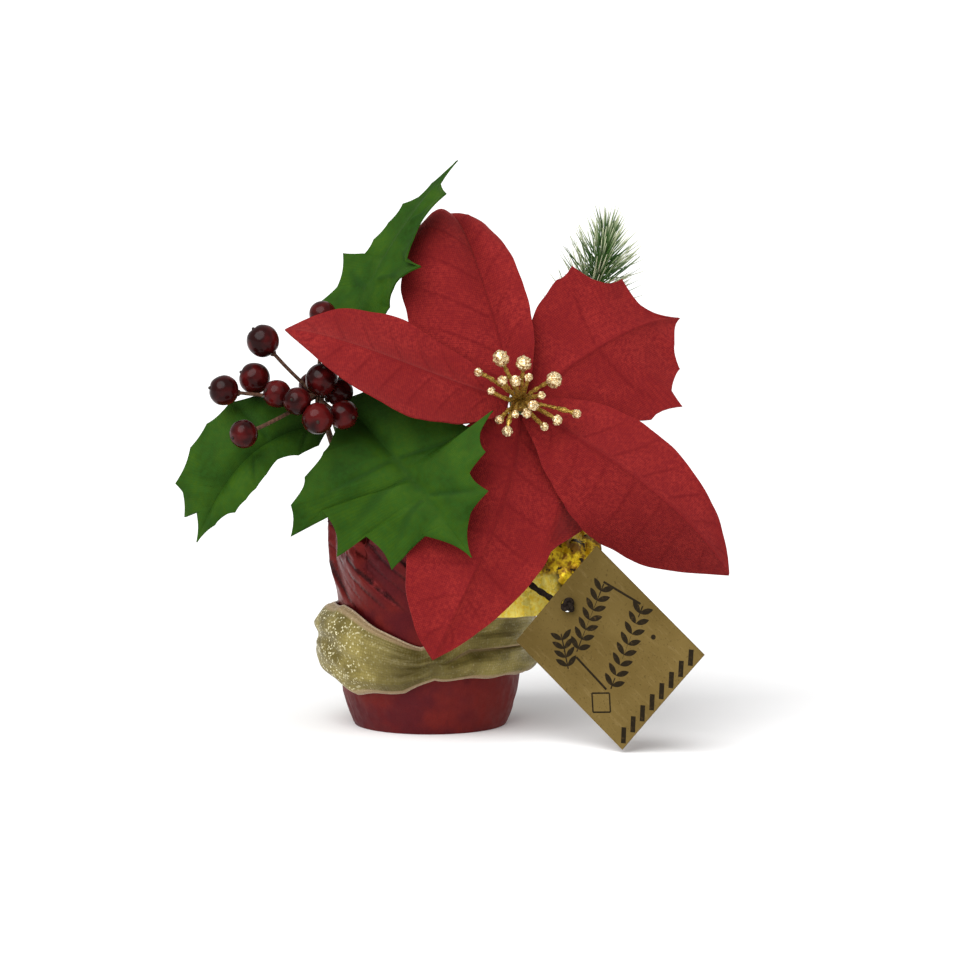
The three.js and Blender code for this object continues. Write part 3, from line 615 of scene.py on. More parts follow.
HOLLY_STEM = [(-28.5, -21.5, 113), (-29, -23, 106), (-29, -22, 98), (-23, -14, 86), (-14, -6, 66)]
HOLLY_LEAVES = {
    "holly_leaf_front": {
        "height": 107, "bulge": (1, 1), "ripple": 0.3, "sag": 0.1,
        "rib": [(-11.5, -43, 92), (1, -51, 77.5), (13.5, -55, 60.5)],
        "edges": [
            (0.07, (-28.5, -33, 101.5), (-19, -30, 110)),
            (0.15, (-30, -37, 96), (-10.5, -34, 110.5)),
            (0.25, (-33, -40, 91.5), (-1, -37.5, 107)),
            (0.36, (-38.5, -42, 84), (8, -40.5, 102.7)),
            (0.46, (-42.5, -43, 75.5), (14, -42, 99.5)),
            (0.5, (-42.5, -41, 65.5), (19.5, -46.5, 105)),
            (0.53, (-33, -45, 74), (16, -48, 98.5)),
            (0.61, (-29, -43, 59), (18, -51, 93)),
            (0.65, (-19.5, -47, 66.5), (13, -51, 86.5)),
            (0.74, (-11.5, -47, 55.5), (18.5, -53, 81)),
            (0.79, (-2, -51, 67), (13, -53, 74)),
        ],
    },
    "holly_leaf_left": {
        "height": 100, "bulge": (2, 2), "ripple": 0.3, "sag": 0.05,
        "rib": [(-52, -41, 99.5), (-64, -43, 87), (-72.5, -37, 63)],
        "edges": [
            (0.1, (-38.5, -27, 106), (-34.5, -33, 93)),
            (0.22, (-46.5, -28, 108), (-40.5, -38, 90.5)),
            (0.34, (-54.5, -29, 108), (-47, -42, 89.5)),
            (0.46, (-62, -31, 106), (-50.5, -45, 85.5)),
            (0.56, (-69.5, -33, 100), (-53.5, -46, 81)),
            (0.64, (-74.5, -34, 92.5), (-56.5, -46, 77.5)),
            (0.72, (-79, -33, 81), (-60, -45, 73.5)),
            (0.75, (-76.5, -35, 78.5), (-62.5, -44, 73)),
            (0.82, (-76.5, -33, 70.5), (-65, -43, 71)),
            (0.85, (-72.5, -36, 72.5), (-66.5, -42, 69)),
        ],
    },
    "holly_leaf_upper": {
        "height": 111, "bulge": (1, 1), "ripple": 0.3, "sag": 0.1,
        "rib": [(-23, -14, 137.5), (-10.5, -14, 158), (9, -10, 181)],
        "edges": [
            (0.12, (-32, -14, 117.5), (-21.5, -19, 119)),
            (0.25, (-36.5, -9, 126.5), (-15, -19, 127)),
            (0.36, (-37, -6, 134.5), (-12.5, -21, 135.5)),
            (0.46, (-29.5, -4, 140.5), (-11, -25, 141.5)),
            (0.52, (-27.5, 0, 151), (-9, -28, 145)),
            (0.56, (-20.5, -4, 151), (-2.5, -32, 149)),
            (0.62, (-17.5, -4, 155.5), (-7.5, -27, 150.5)),
            (0.7, (-13, -3, 161), (-5, -23, 157)),
            (0.78, (-8.5, -3, 167), (-1.5, -20, 163.5)),
            (0.83, (-3.5, -5, 169), (5.5, -21, 171)),
            (0.87, (1, -6, 173.5), (3.5, -15, 174)),
        ],
    },
}


def smooth_edges(spec, foot, tip, t):
    return [cubic([start, *spec[side], tip], t) for start, side in zip(foot, ("port", "star"))]


def cut_edges(spec, rib, foot, tip, t):
    """Edges through corners. Between two corners the cut sags towards the midrib, which sharpens spines."""
    at = np.array([0, *(e[0] for e in spec["edges"]), 1])
    per_span = 24
    edges = []
    for side in (0, 1):
        corners = np.array([foot[side], *(e[side + 1] for e in spec["edges"]), tip], float)
        straight = np.stack([np.interp(t, at, corners[:, k]) for k in range(3)], axis=1)
        curved = through(corners, per_span)
        curved_t = np.interp(np.arange(len(curved)) / per_span, np.arange(len(at)), at)
        curved = np.stack([np.interp(t, curved_t, curved[:, k]) for k in range(3)], axis=1)
        i = np.clip(np.searchsorted(at, t, side="right") - 1, 0, len(at) - 2)
        share = (t - at[i]) / (at[i + 1] - at[i])
        run = np.linalg.norm(corners[i + 1] - corners[i], axis=1)
        sagged = straight + unit(rib - straight) * (spec["sag"] * run * 4 * share * (1 - share))[:, None]
        edges.append(np.where((t < spec.get("smooth_until", 0))[:, None], curved, sagged))
    return edges


def spine_places(spec, side, rib_at):
    """Where along the midrib the spines of one edge stand out."""
    reach = [np.linalg.norm(np.array(e[side + 1]) - rib_at(e[0])) for e in spec["edges"]]
    reach = [0, *reach, 0]
    return [e[0] for i, e in enumerate(spec["edges"]) if reach[i] < reach[i + 1] >= reach[i + 2] * 0.99]


BRACT_CLOTH = {"thick": PETAL, "step": 0.75, "per_half": 28, "midrib": (0.45, 0.9), "vein": (0.22, 0.55)}
LEAF_CLOTH = {"thick": LEAF, "step": 0.6, "per_half": 24, "midrib": (1.3, 2.6), "vein": (0.75, 1.3)}
BRACT_VEINS = 7
CURL_FADE = 0.12  # how much of the blade's length a curl of its margin takes to fade


def blade_half(spec, cloth, side, t, length, rib, edge, up, veins):
    """One half of a blade as rows of points from the midrib to an edge, and its lay.

    The cloth's midrib and vein are each (depth, half-width), and veins says where they leave the midrib."""
    uneven = [noise.noise(Vector((at * length * 0.16, side * 9.0, length))) for at in t]
    edge = rib + (edge - rib) * (1 + 0.035 * np.array(uneven))[:, None]
    u = (np.arange(cloth["per_half"] + 1) / cloth["per_half"])[None]
    t = t[:, None]
    off_rib = u * np.linalg.norm(edge - rib, axis=1)[:, None]
    (rib_deep, rib_wide), (vein_deep, vein_wide) = cloth["midrib"], cloth["vein"]
    main = np.exp(-((off_rib / rib_wide) ** 2)) * (1 - t) ** 0.5
    branch = np.zeros_like(off_rib)
    for at in veins:
        off = (t - (at - 0.1 * (1 - u) ** 1.3 - 0.02)) * length
        branch = np.maximum(branch, np.exp(-((off / vein_wide) ** 2)) * rise(off_rib, 0.3, 2) * (1 - u**4))
    lift = spec["bulge"][side] * 4 * u * (1 - u) * np.sin(math.pi * t)
    lift = lift + spec["ripple"] * u**3 * np.sin(t * 19 + 2.1 * side) * np.sin(math.pi * t) ** 0.5
    lift = lift - rib_deep * main - vein_deep * branch
    points = rib[:, None] + (edge - rib)[:, None] * u[..., None] + up[:, None] * lift[..., None]
    curl = spec.get("curl")
    if curl and curl["side"] == side:
        low, high = curl["stretch"]
        near = window(t, low, low + CURL_FADE, high - CURL_FADE, high)
        points = points + (near * rise(u, 0.86, 1))[..., None] * curl["by"]
    across = off_rib if side else -off_rib
    return points, stacked(across, t * length, np.maximum(main, branch))


def blade(name, spec, root, foot, cloth):
    """Lays a blade between its midrib and two edges, with veins pressed into it, as a thin sheet."""
    ribs, tip = [root, *spec["rib"]], np.array(spec["rib"][-1], float)
    length = travelled(cubic(ribs, np.linspace(0, 1, 60)))[-1]
    t = np.linspace(0, 1, round(length / cloth["step"]) + 1)
    if "edges" in spec:
        t = np.unique(np.concatenate([t, [e[0] for e in spec["edges"]]]))
        rib = cubic(ribs, t)
        edges = cut_edges(spec, rib, foot, tip, t)
        veins = [spine_places(spec, side, lambda at: cubic(ribs, at)) for side in (0, 1)]
    else:
        rib = cubic(ribs, t)
        edges = smooth_edges(spec, foot, tip, t)
        veins = [np.arange(1, BRACT_VEINS + 1) / (BRACT_VEINS + 1) + 0.08] * 2
    up = unit(np.cross(unit(np.gradient(rib, axis=0)), edges[1] - edges[0]))
    halves = [blade_half(spec, cloth, k, t, length, rib, edges[k], up, veins[k]) for k in (0, 1)]
    grid, lay = (np.concatenate([a[:, :0:-1], b], axis=1) for a, b in zip(*halves))
    piece = Piece(name + "_cloth")
    piece.sheet(grid, cloth["thick"], lay)
    return piece


BRACT_ROOT = 4  # half a bract's width at its root


def make_bracts(look):
    for name, spec in BRACTS.items():
        reach = np.array(spec["rib"][0]) - HUB_AT
        out = unit(reach - HUB_AXIS * reach.dot(HUB_AXIS))
        level = HUB["length"] / 2 - 1 - spec["layer"] * HUB["step"]
        root = HUB_AT + HUB_AXIS * level + out * (HUB["radius"] + GAP)
        side = np.cross(out, HUB_AXIS) * BRACT_ROOT
        blade(name, spec, root, [root - side, root + side], BRACT_CLOTH).build([look], "red_cloth", [name])


def make_leaves(look):
    carrier = stem_line(HOLLY_STEM, FEET["holly"])
    for name, spec in HOLLY_LEAVES.items():
        at, ahead = at_height(carrier, spec["height"])
        out = np.array(spec["rib"][0]) - at
        out = unit(out - ahead * out.dot(ahead))
        root = at + out * (STEM_R["holly"] + 2 * GAP)
        _, port, star = spec["edges"][0]
        side = np.array(star) - np.array(port)
        side = unit(side - out * side.dot(out))
        blade(name, spec, root, [root - side, root + side], LEAF_CLOTH).build([look], "green_cloth", [name])


# -------- stems, berries, stamens, needles

BLOOM_STEM = [HUB_AT + HUB_AXIS * (2 - HUB["length"] / 2), (26.5, -17, 101), (20, -6, 88), (11, 1, 68)]

BERRIES = [  # centre and radius
    ((-51.6, -34, 125.9), 5.2), ((-63.7, -38, 110.8), 4.8), ((-54.4, -32, 114), 5.0),
    ((-47, -41, 110), 4.5), ((-57, -50, 98.4), 4.5), ((-34.2, -49, 103.1), 5.0),
    ((-33.2, -39, 114.2), 5.2), ((-26.3, -42, 103.6), 4.6), ((-33.5, -19, 133), 4.4),
    ((-40.6, -47, 108.3), 4.4), ((-28, -34, 110), 4.6), ((-37, -28.5, 111.5), 3.9),
]
BERRY_BUNDLE = (-35, -31, 108.5)
BERRY_STEM = [BERRY_BUNDLE, (-34.5, -22, 109.5), (-33.5, -14, 101), (-29, -9, 86), (-19, -1, 66)]
TWIG_R, CALYX_R = 0.6, 0.55

PINE_STEM = [(56.5, 12, 156), (54.5, 12.5, 145), (43, 14.5, 114), (23, 17, 80), (11, 16, 60)]
NEEDLES = 680
NEEDLE_R = 0.30 * np.array([0.9, 1, 1, 0.95, 0.85, 0.65, 0.3])
BARE_SHARE = 0.3  # how much of the stem's foot has no needles
GOLDEN_TURN = 137.5


def stem_line(points, foot):
    """A stem from its top down to its straight foot in the foam."""
    line = through([*points, (*foot, FOOT["high"] - 1)])
    return even(np.vstack([line, (*foot, FOOT["low"])]), 0.8)


def add_stem(piece, name, points):
    piece.tube(stem_line(points, FEET[name]), STEM_R[name], 12)


def make_bloom_stem(look):
    piece = Piece("bloom_stem_wire")
    add_stem(piece, "bloom", BLOOM_STEM)
    half = HUB_AXIS * HUB["length"] / 2
    swell = HUB["radius"] * np.array([0.3, 0.72, 0.82, 0.87, 0.9, 0.94, 0.97, 0.96, 0.8])
    piece.tube(np.linspace(HUB_AT - half, HUB_AT + half, len(swell)), swell, 24)
    piece.build([look], "green_plastic", ["bloom_stem"])


def make_holly_stem(look):
    piece = Piece("holly_stem_wire")
    add_stem(piece, "holly", HOLLY_STEM)
    piece.build([look], "green_plastic", ["holly_stem"])


def make_berries(skin, twig, calyx):
    berries, twigs = Piece("berries"), Piece("berry_twigs")
    add_stem(twigs, "berry", BERRY_STEM)
    start = np.array(BERRY_BUNDLE, float)
    for i, (centre, radius) in enumerate(BERRIES):
        centre = np.array(centre, float)
        bow = mix(start, centre, 0.55) + (0, -1, -1.5)
        t = np.linspace(0, 1, 24)[:, None]
        twigs.tube(even((1 - t) ** 2 * start + 2 * t * (1 - t) * bow + t * t * centre, 0.7), TWIG_R, 8)
        way = unit(centre - bow)

        def dimpled(directions, way=way, i=i):
            end = directions @ way
            lump = np.array([noise.noise(Vector(d * 1.4) + Vector((i * 3.1, 0, 0))) for d in directions])
            tip, foot = 0.07 * np.exp(-((1 - end) / 0.03)), 0.06 * np.exp(-((1 + end) / 0.05))
            return 0.985 + 0.03 * lump - tip - foot

        berries.ball(centre, radius, warp=dimpled)
        berries.ball(centre + way * radius * 0.93, CALYX_R, 8, 10, kind=1)
        collar = np.linspace(centre - way * radius * 1.12, centre - way * radius * 0.9, 5)
        twigs.tube(collar, np.array([0.5, 0.8, 1.0, 1.1, 0.9]), 12)
    berries.build([skin, calyx], "berry_red", ["berry_spray"])
    twigs.build([twig], "green_plastic", ["berry_spray"])


BEAD_R = 2.1
BEADS = [
    (22.5, -41, 121), (29.5, -42, 119.5), (39, -42, 114.5), (15.5, -38.5, 116.5), (23, -44.5, 114.5),
    (27, -46, 114.5), (31, -45, 115.5), (19.5, -42, 111), (35, -46, 110), (32.5, -47, 107),
    (30.5, -46.5, 104.5), (22, -42, 102), (24.5, -42.5, 98.5), (36, -43.5, 100), (40, -43.5, 102),
    (46, -43, 104), (27, -45, 104),
]
BIG_BEADS = (0, 1, 2)
BIG_SIZES, SMALL_SIZES = (1.15, 1.3), (0.62, 0.88)  # the scale of a bead, from and to
STALK_R = 0.68


def make_stamens(gold, wire):
    vary = random.Random(11)
    front = HUB_AT + HUB_AXIS * (HUB["length"] / 2 + GAP)
    beads, stalks = Piece("stamen_beads"), Piece("stamen_stalks")
    stalks.tube(np.linspace(front, front + HUB_AXIS * 2.4, 5), np.array([3.1, 3.0, 2.8, 2.5, 1.9]), 20)
    start = front + HUB_AXIS * 0.8
    for i, end in enumerate(np.array(BEADS, float)):
        reach = end - start
        bend = np.cross(unit(reach), HUB_AXIS) * vary.uniform(-1.6, 1.6) + HUB_AXIS * vary.uniform(0, 1.5)
        ways = [start, start + reach * 0.35 + bend, start + reach * 0.7 + bend, end]
        line = even(cubic(ways, np.linspace(0, 1, 24)), 0.5)
        crinkle = np.array([noise.noise(Vector((k * 0.55, i * 7.7, 0))) for k in range(len(line))])
        stalks.tube(line, STALK_R + 0.4 * crinkle, 8)

        def lumpy(directions, i=i):
            return np.array([
                0.90 + 0.22 * noise.noise(Vector(d * 2.6) + Vector((i * 5.3, 0, 0)))
                + 0.10 * noise.noise(Vector(d * 7.0) + Vector((i * 3.7, 9, 0))) for d in directions
            ])

        size = BEAD_R * vary.uniform(*(BIG_SIZES if i in BIG_BEADS else SMALL_SIZES))
        beads.ball(end, size, warp=lumpy)
    beads.build([gold], "gold_glitter", ["stamens"])
    stalks.build([wire], "gold_glitter", ["stamens"])


def make_pine(look, bark):
    """Needles in a spiral up the stem. Those at its tip are shorter and stand up more."""
    vary = random.Random(21)
    line = even(through(PINE_STEM), 0.1)[::-1]
    ways = unit(np.gradient(line, axis=0))
    stem, needles = Piece("pine_stem"), Piece("pine_needles")
    add_stem(stem, "pine", PINE_STEM)
    s = np.linspace(0, 1, len(NEEDLE_R))[:, None]
    for i in range(NEEDLES):
        t = mix(BARE_SHARE, 0.995, (i / (NEEDLES - 1)) ** 0.7)
        k = int(t * (len(line) - 1))
        at, ahead = line[k], ways[k]
        across = unit(np.cross((0, 1, 0), ahead))
        other = np.cross(ahead, across)
        turn = math.radians(i * GOLDEN_TURN)
        tip = float(rise(t, 0.84, 1))
        lean = math.radians(mix(70, 30, tip) + vary.uniform(-24, 12))
        way = ahead * math.cos(lean) + math.sin(lean) * (across * math.cos(turn) + other * math.sin(turn))
        length = vary.uniform(11, 16) * (1 - 0.34 * tip)
        path = at + way * length * s + ahead * mix(4.2, 1.5, tip) * s**2
        needles.tube(path, NEEDLE_R, 5, flat=0.5, mark=s * vary.uniform(0.6, 1))
    needles.build([look], "pine_green", ["pine_sprig"])
    stem.build([bark], "pine_green", ["pine_sprig"])


# -------- the foil wrap

# At each bearing, three stretches of the foil's free rim: (length, angle from upright at its end).
RIM = [
    (-180, (15, 24), (2, 40), (1.5, 50)),
    (-120, (16, 10), (2, 18), (1.5, 30)),
    (-90, (12, 0), (2, 3), (1.5, 6)),
    (-45, (12, 3), (2, 6), (1.5, 12)),
    (-2, (11, 8), (2, 30), (1.5, 45)),
    (12, (11, 30), (5, 150), (2, 168)),
    (25, (10, 44), (24, 170), (2, 172)),
    (42, (12, 50), (25.5, 168), (2, 172)),
    (50, (14, 54), (25, 162), (3, 175)),
    (58, (18, 58), (18, 145), (7, 180)),
    (72, (19, 54), (8, 110), (5, 140)),
    (90, (18, 48), (5, 75), (3, 95)),
    (125, (13, 30), (2, 45), (1.5, 60)),
    (180, (15, 24), (2, 40), (1.5, 50)),
]

WRAP_COLUMNS = 480
RIM_PARTS = ((1, 16), (2, 26), (3, 4))  # which stretch of each station, and its rows
FLOOR_RINGS = (0.02, 6, 12, 18, 23)
CREASES = ((0.94, 0.055, 1), (0.30, 0.035, 0.5), (0.62, 0.045, 0.75))  # place in its pleat, half-width, depth


def pleat_share(bearing, z):
    """How far a place lies across its pleat, from 0 to 1."""
    turn = (np.radians(bearing - PLEAT_AT) + PLEAT_LEAN * (z - 40)) * WRAP_PLEATS / (2 * math.pi)
    return turn - np.floor(turn)


def pleat(bearing, z):
    """How far a diagonal pleat stands out of the wall: a long slope, then a sharp step back."""
    share = pleat_share(bearing, z)
    shape = np.where(share < 0.88, share / 0.88, (1 - share) / 0.12)
    return (shape - 0.5) * mix(0.25, 2.3, rise(z, 39, 52)) * rise(z, 0, 3)


def at_bearing(bearing, r, z):
    a = np.radians(bearing)
    return stacked(r * np.sin(a), -r * np.cos(a), z)


def crease(x, y, seed):
    """Height of crumpled foil at a place: flat facets that meet in sharp creases."""
    near = noise.voronoi(Vector((x, y, seed)))[0]
    return min(near[1] - near[0], 0.5)


def wrap_rings(bearings):
    """The foil's wall and free rim as rings of points from the floor up, and how many belong to the wall."""
    wall = [(r - 0.45, z) if i else (r, SHEET / 2) for i, (r, z) in enumerate(WRAP_WALL)]
    wall = even(through([(r, 0, z) for r, z in wall]), 1.0)
    rings = [(r + pleat(bearings, z), np.full(len(bearings), z)) for r, _, z in wall]
    r, z = rings[-1]
    lean = np.full(len(bearings), 6.0)
    for part, steps in RIM_PARTS:
        length, to = (along([(station[0], station[part][k]) for station in RIM], bearings) for k in (0, 1))
        start = lean
        for i in range(steps):
            lean = mix(start, to, min(1, (i + 0.5) / steps / 0.3))
            r = r + length / steps * np.sin(np.radians(lean))
            z = z + length / steps * np.cos(np.radians(lean))
            rings.append((r, z))
    return np.stack([at_bearing(bearings, r, z) for r, z in rings]), len(wall)


def creases(bearings, z):
    """How deep in a crease beside its pleat each place lies. Creases are faint and wide at the back."""
    share = pleat_share(bearings + 5 * np.sin(z * 0.13), z)
    back = rise(abs(bearings), 105, 140)
    lines = sum(depth * np.exp(-(((share - at) / (wide * (1 + back))) ** 2)) for at, wide, depth in CREASES)
    return lines * (1 - 0.6 * back) * rise(z, 36, 46)


def make_wrap(outside, lining):
    """The foil, from the middle of its floor up the wall and on to its free rim.

    Its lay's first number is how deep in a crease a place lies, and its last how crumpled it is there."""
    bearings = np.linspace(-180, 180, WRAP_COLUMNS, endpoint=False)
    grid, wall = wrap_rings(bearings)
    rows = len(grid)
    row = np.arange(rows)[:, None]
    free = rise(row, wall - 2, wall + 12)
    corner = window(bearings, 14, 24, 47, 56) * rise(row, rows - 18, rows - 13)
    left = window(bearings, -130, -105, -80, -60)
    crumpled = free * (1 - 0.93 * corner) * (1 - 0.5 * left)
    facets = np.array([[crease(b * 0.10, i * 0.15 + b * 0.03, 2.0) for b in bearings] for i in range(rows)])
    fine = np.array([[noise.noise(Vector((b * 0.21, i * 0.35, 7.0))) for b in bearings] for i in range(rows)])
    stand = rise(grid[..., 2], 1, 5) * (1 - free)
    lift = stand * (0.30 * (facets - 0.25) + 0.10 * fine) + crumpled * (2.2 * (facets - 0.25) + 0.6 * fine)
    grid = grid + sheet_normals(grid, True) * lift[..., None]
    floor = np.stack([at_bearing(bearings, r, np.full(WRAP_COLUMNS, SHEET / 2)) for r in FLOOR_RINGS])
    grid = np.concatenate([floor, grid])
    crumpled = np.concatenate([np.zeros(floor.shape[:2]), crumpled])
    piece = Piece("foil")
    piece.sheet(grid, SHEET, stacked(creases(bearings, grid[..., 2]), 0.0, crumpled), (1, 0), ring=True)
    piece.build([outside, lining], "burgundy_foil", ["foil_wrap"], sharp=50)


# -------- the mesh ribbon

BAND_TOP = [
    (-180, 33), (-120, 37), (-90, 38.5), (-62, 40), (-42, 36), (-22, 31.5),
    (-5, 28.5), (8, 29.5), (24, 37.5), (46, 38), (62, 38), (80, 37), (100, 31), (150, 30), (180, 33),
]
BAND_FOOT = [
    (-180, 14), (-120, 14.5), (-90, 16.5), (-68, 14.5), (-50, 13), (-15, 14.2), (3, 19.3), (20, 18.4),
    (60, 18.6), (90, 17), (130, 14), (180, 14),
]


def wrap_radius(z):
    return along([(h, r) for r, h in WRAP_WALL[1:]], z)


BAND_SPLIT = 0.47  # the share of its width where the lower roll ends on the right
BAND_FOLDS = ((1.6, 0.085, 0.4), (3.1, 0.065, 2.0), (5.2, 0.022, 4.1))  # folds in its width, depth, phase


def make_ribbon(look, hem):
    """One turn of gathered mesh: a full roll on the left, and on the right a roll below a flatter upper part.

    Its lay is the place round the pot, the place across the width, and how near a hem it lies."""
    bearing = np.linspace(-180, 180, 540, endpoint=False)[None]
    a, s = np.radians(bearing), np.linspace(0, 1, 72)[:, None]
    z = mix(along(BAND_FOOT, bearing), along(BAND_TOP, bearing), s)
    z = z + 0.35 * (np.sin(7 * a + 1) + np.sin(12 * a)) * (2 * s - 1)
    right = window(bearing, 0, 20, 80, 120)
    knot = np.exp(-(((bearing + 3) / 8) ** 2))
    puff = 1 + 0.30 * window(bearing, -160, -120, -95, -50)
    roll = 0.93 * (4 * s * (1 - s)) ** 0.42
    low = np.clip(s / BAND_SPLIT, 0, 1)
    lower_roll = np.maximum(0.80 * (4 * low * (1 - low)) ** 0.45, 0.2 * rise(s, 0, 0.1))
    flat = 0.14 + 0.10 * np.sin(math.pi * np.clip((s - BAND_SPLIT) / (1 - BAND_SPLIT), 0, 1))
    flat = mix(flat, 0.62, window(bearing, 28, 58, 90, 120))
    out = mix(roll, np.where(s < BAND_SPLIT, lower_roll, flat), right)
    folds = sum(
        depth * np.cos(
            2 * math.pi * (count * s + 0.34 * np.sin(2 * a + phase) + 0.16 * np.sin(5 * a - phase))
        ) for count, depth, phase in BAND_FOLDS
    )
    wrinkle = np.array([
        [noise.noise(Vector((math.sin(x) * 4, math.cos(x) * 4, row * 0.12))) for x in a[0]]
        for row in range(len(s))
    ])
    inner = np.sin(math.pi * s) ** 0.5
    out = BAND_THICK * puff * (out * (1 - 0.25 * knot) + inner * (folds * (1 + knot) + 0.09 * wrinkle))
    grid = at_bearing(bearing, wrap_radius(z) + 0.95 + np.maximum(out, 0.15), z)
    edge = rise(-s, -0.09, -0.02) + rise(s, 0.91, 0.98) + right * np.exp(-(((s - BAND_SPLIT) / 0.03) ** 2))
    width = travelled(grid[:, 0])[:, None]
    piece = Piece("ribbon")
    piece.sheet(grid[::-1], 0.35, stacked(a * 34, width, edge)[::-1], ring=True)
    wires = Piece("ribbon_selvage")
    for row in (0, -1):
        wires.tube(np.vstack([grid[row], grid[row, :1]]), 0.5, 8)
    made = piece.build([look], "gold_mesh", ["ribbon_band"], sharp=80)
    hems = wires.build([hem], "gold_mesh", ["ribbon_band"])


# -------- the tag and its cord

ACROSS = unit(TAG_ACROSS)
FACE = unit(TAG_FACE)
TAG_UP = unit(np.cross(FACE, ACROSS))
ACROSS = np.cross(TAG_UP, FACE)


def on_card(x, y, out=0.0):
    """A place on the card: across it, up it and out of its printed face, with the card's slight bow."""
    bow = 0.35 * (np.asarray(x, float) / 20) ** 2 - 0.12
    return (np.array(TAG["at"]) + np.multiply.outer(x, ACROSS) + np.multiply.outer(y, TAG_UP)
            + np.multiply.outer(out - bow, FACE))


def make_card(look):
    half_w, half_h = TAG["width"] / 2, TAG["height"] / 2
    hole_y = half_h - TAG["hole_down"]
    corners = [math.atan2(sy * half_h - hole_y, sx * half_w) for sx in (-1, 1) for sy in (-1, 1)]
    turns = np.unique(np.concatenate([np.linspace(-math.pi, math.pi, 120, endpoint=False), corners]))[::-1]
    way = np.stack([np.cos(turns), np.sin(turns)], axis=1)
    far_x = half_w / np.maximum(abs(way[:, 0]), 1e-9)
    far_y = np.where(way[:, 1] > 0, half_h - hole_y, half_h + hole_y) / np.maximum(abs(way[:, 1]), 1e-9)
    far = np.minimum(far_x, far_y)
    share = np.linspace(0, 1, 26)[:, None] ** 1.2
    reach = mix(TAG["hole_r"], far[None], share)
    x = reach * way[:, 0]
    y = reach * way[:, 1] + hole_y
    piece = Piece("tag_card_piece")
    piece.sheet(on_card(x, y), TAG["thick"], stacked(x, y, 0.0), ring=True)
    piece.build([look], "tag_card", ["gift_tag"], sharp=40)


PRINT_OUT = TAG["thick"] / 2 + 0.03
PRINT_LEAF = 4.6  # a leaf's length
GARLANDS = [  # from, to, pairs of leaves and a leaf's width
    ((-8.5, 7), (13.5, 14.5), 7, 1.8), ((-9, -9), (17.5, 0.5), 8, 1.8), ((-14.5, 5.5), (-8, 14.5), 4, 1.7),
]
RULES = [((14, 15), (17.5, 1.5)), ((-9.8, 6), (-10.2, -8))]
SQUARE = {"at": (-14.5, -9.5), "half": 4.2}
DOT = {"at": (12.9, -8.5), "radius": 0.8}
STROKES = {"count": 8, "apart": 4.8, "first": (1.8, 1.0), "way": (0.78, 0.63), "length": 5.0}


def print_shape(piece, outline):
    """A flat patch of ink: a closed outline round its own middle, in card coordinates."""
    outline = np.asarray(outline, float)
    points = np.vstack([outline.mean(axis=0), outline])
    n = len(outline)
    faces = [(0, 1 + i, 1 + (i + 1) % n) for i in range(n)]
    piece.add(on_card(points[:, 0], points[:, 1], PRINT_OUT), faces)


def leaf_outline(x, y, turn, width):
    t = np.linspace(0, 1, 9)
    side = width / 2 * np.sin(math.pi * t) ** 0.8
    run = t * PRINT_LEAF
    shape = np.concatenate([np.stack([run, side], 1), np.stack([run, -side], 1)[-2:0:-1]])
    c, s = math.cos(turn), math.sin(turn)
    return shape @ np.array([[c, s], [-s, c]]) + (x, y)


def garland(piece, start, end, pairs, width):
    """A stalk of leaf pairs on the card, which fills a line between two places."""
    start, end = np.array(start, float), np.array(end, float)
    ahead = unit(end - start)
    turn = math.atan2(ahead[1], ahead[0])
    rule(piece, start, end, 0.22)
    for i in range(pairs):
        x, y = mix(start, end, (i + 0.3) / pairs)
        for lean in (0.9, -0.9):
            print_shape(piece, leaf_outline(x, y, turn + lean, width))


def rule(piece, start, end, half_wide):
    start, end = np.array(start, float), np.array(end, float)
    ahead = unit(end - start)
    wide = np.array((-ahead[1], ahead[0])) * half_wide
    print_shape(piece, [start - wide, end - wide, end + wide, start + wide])


def make_print(look):
    """Garlands and rules as a frame, a small square and a dot, and slanted strokes along the tag's foot."""
    piece = Piece("tag_print")
    first = np.array(STROKES["first"]) - (TAG["width"] / 2, TAG["height"] / 2)
    stroke = unit(STROKES["way"]) * STROKES["length"]
    for i in range(STROKES["count"]):
        foot = first + (i * STROKES["apart"], 0)
        rule(piece, foot, foot + stroke, 0.8)
    for start, end, pairs, width in GARLANDS:
        garland(piece, start, end, pairs, width)
    for start, end in RULES:
        rule(piece, start, end, 0.35)
    half = SQUARE["half"]
    corners = [np.array(SQUARE["at"]) + way for way in ((half, 0), (0, half), (-half, 0), (0, -half))]
    for a, b in zip(corners, [*corners[1:], corners[0]]):
        rule(piece, a, b, 0.25)
    turns = np.arange(12)[:, None] * math.pi / 6
    print_shape(piece, np.array(DOT["at"]) + DOT["radius"] * np.hstack([np.cos(turns), np.sin(turns)]))
    piece.build([look], "tag_card", ["gift_tag"])


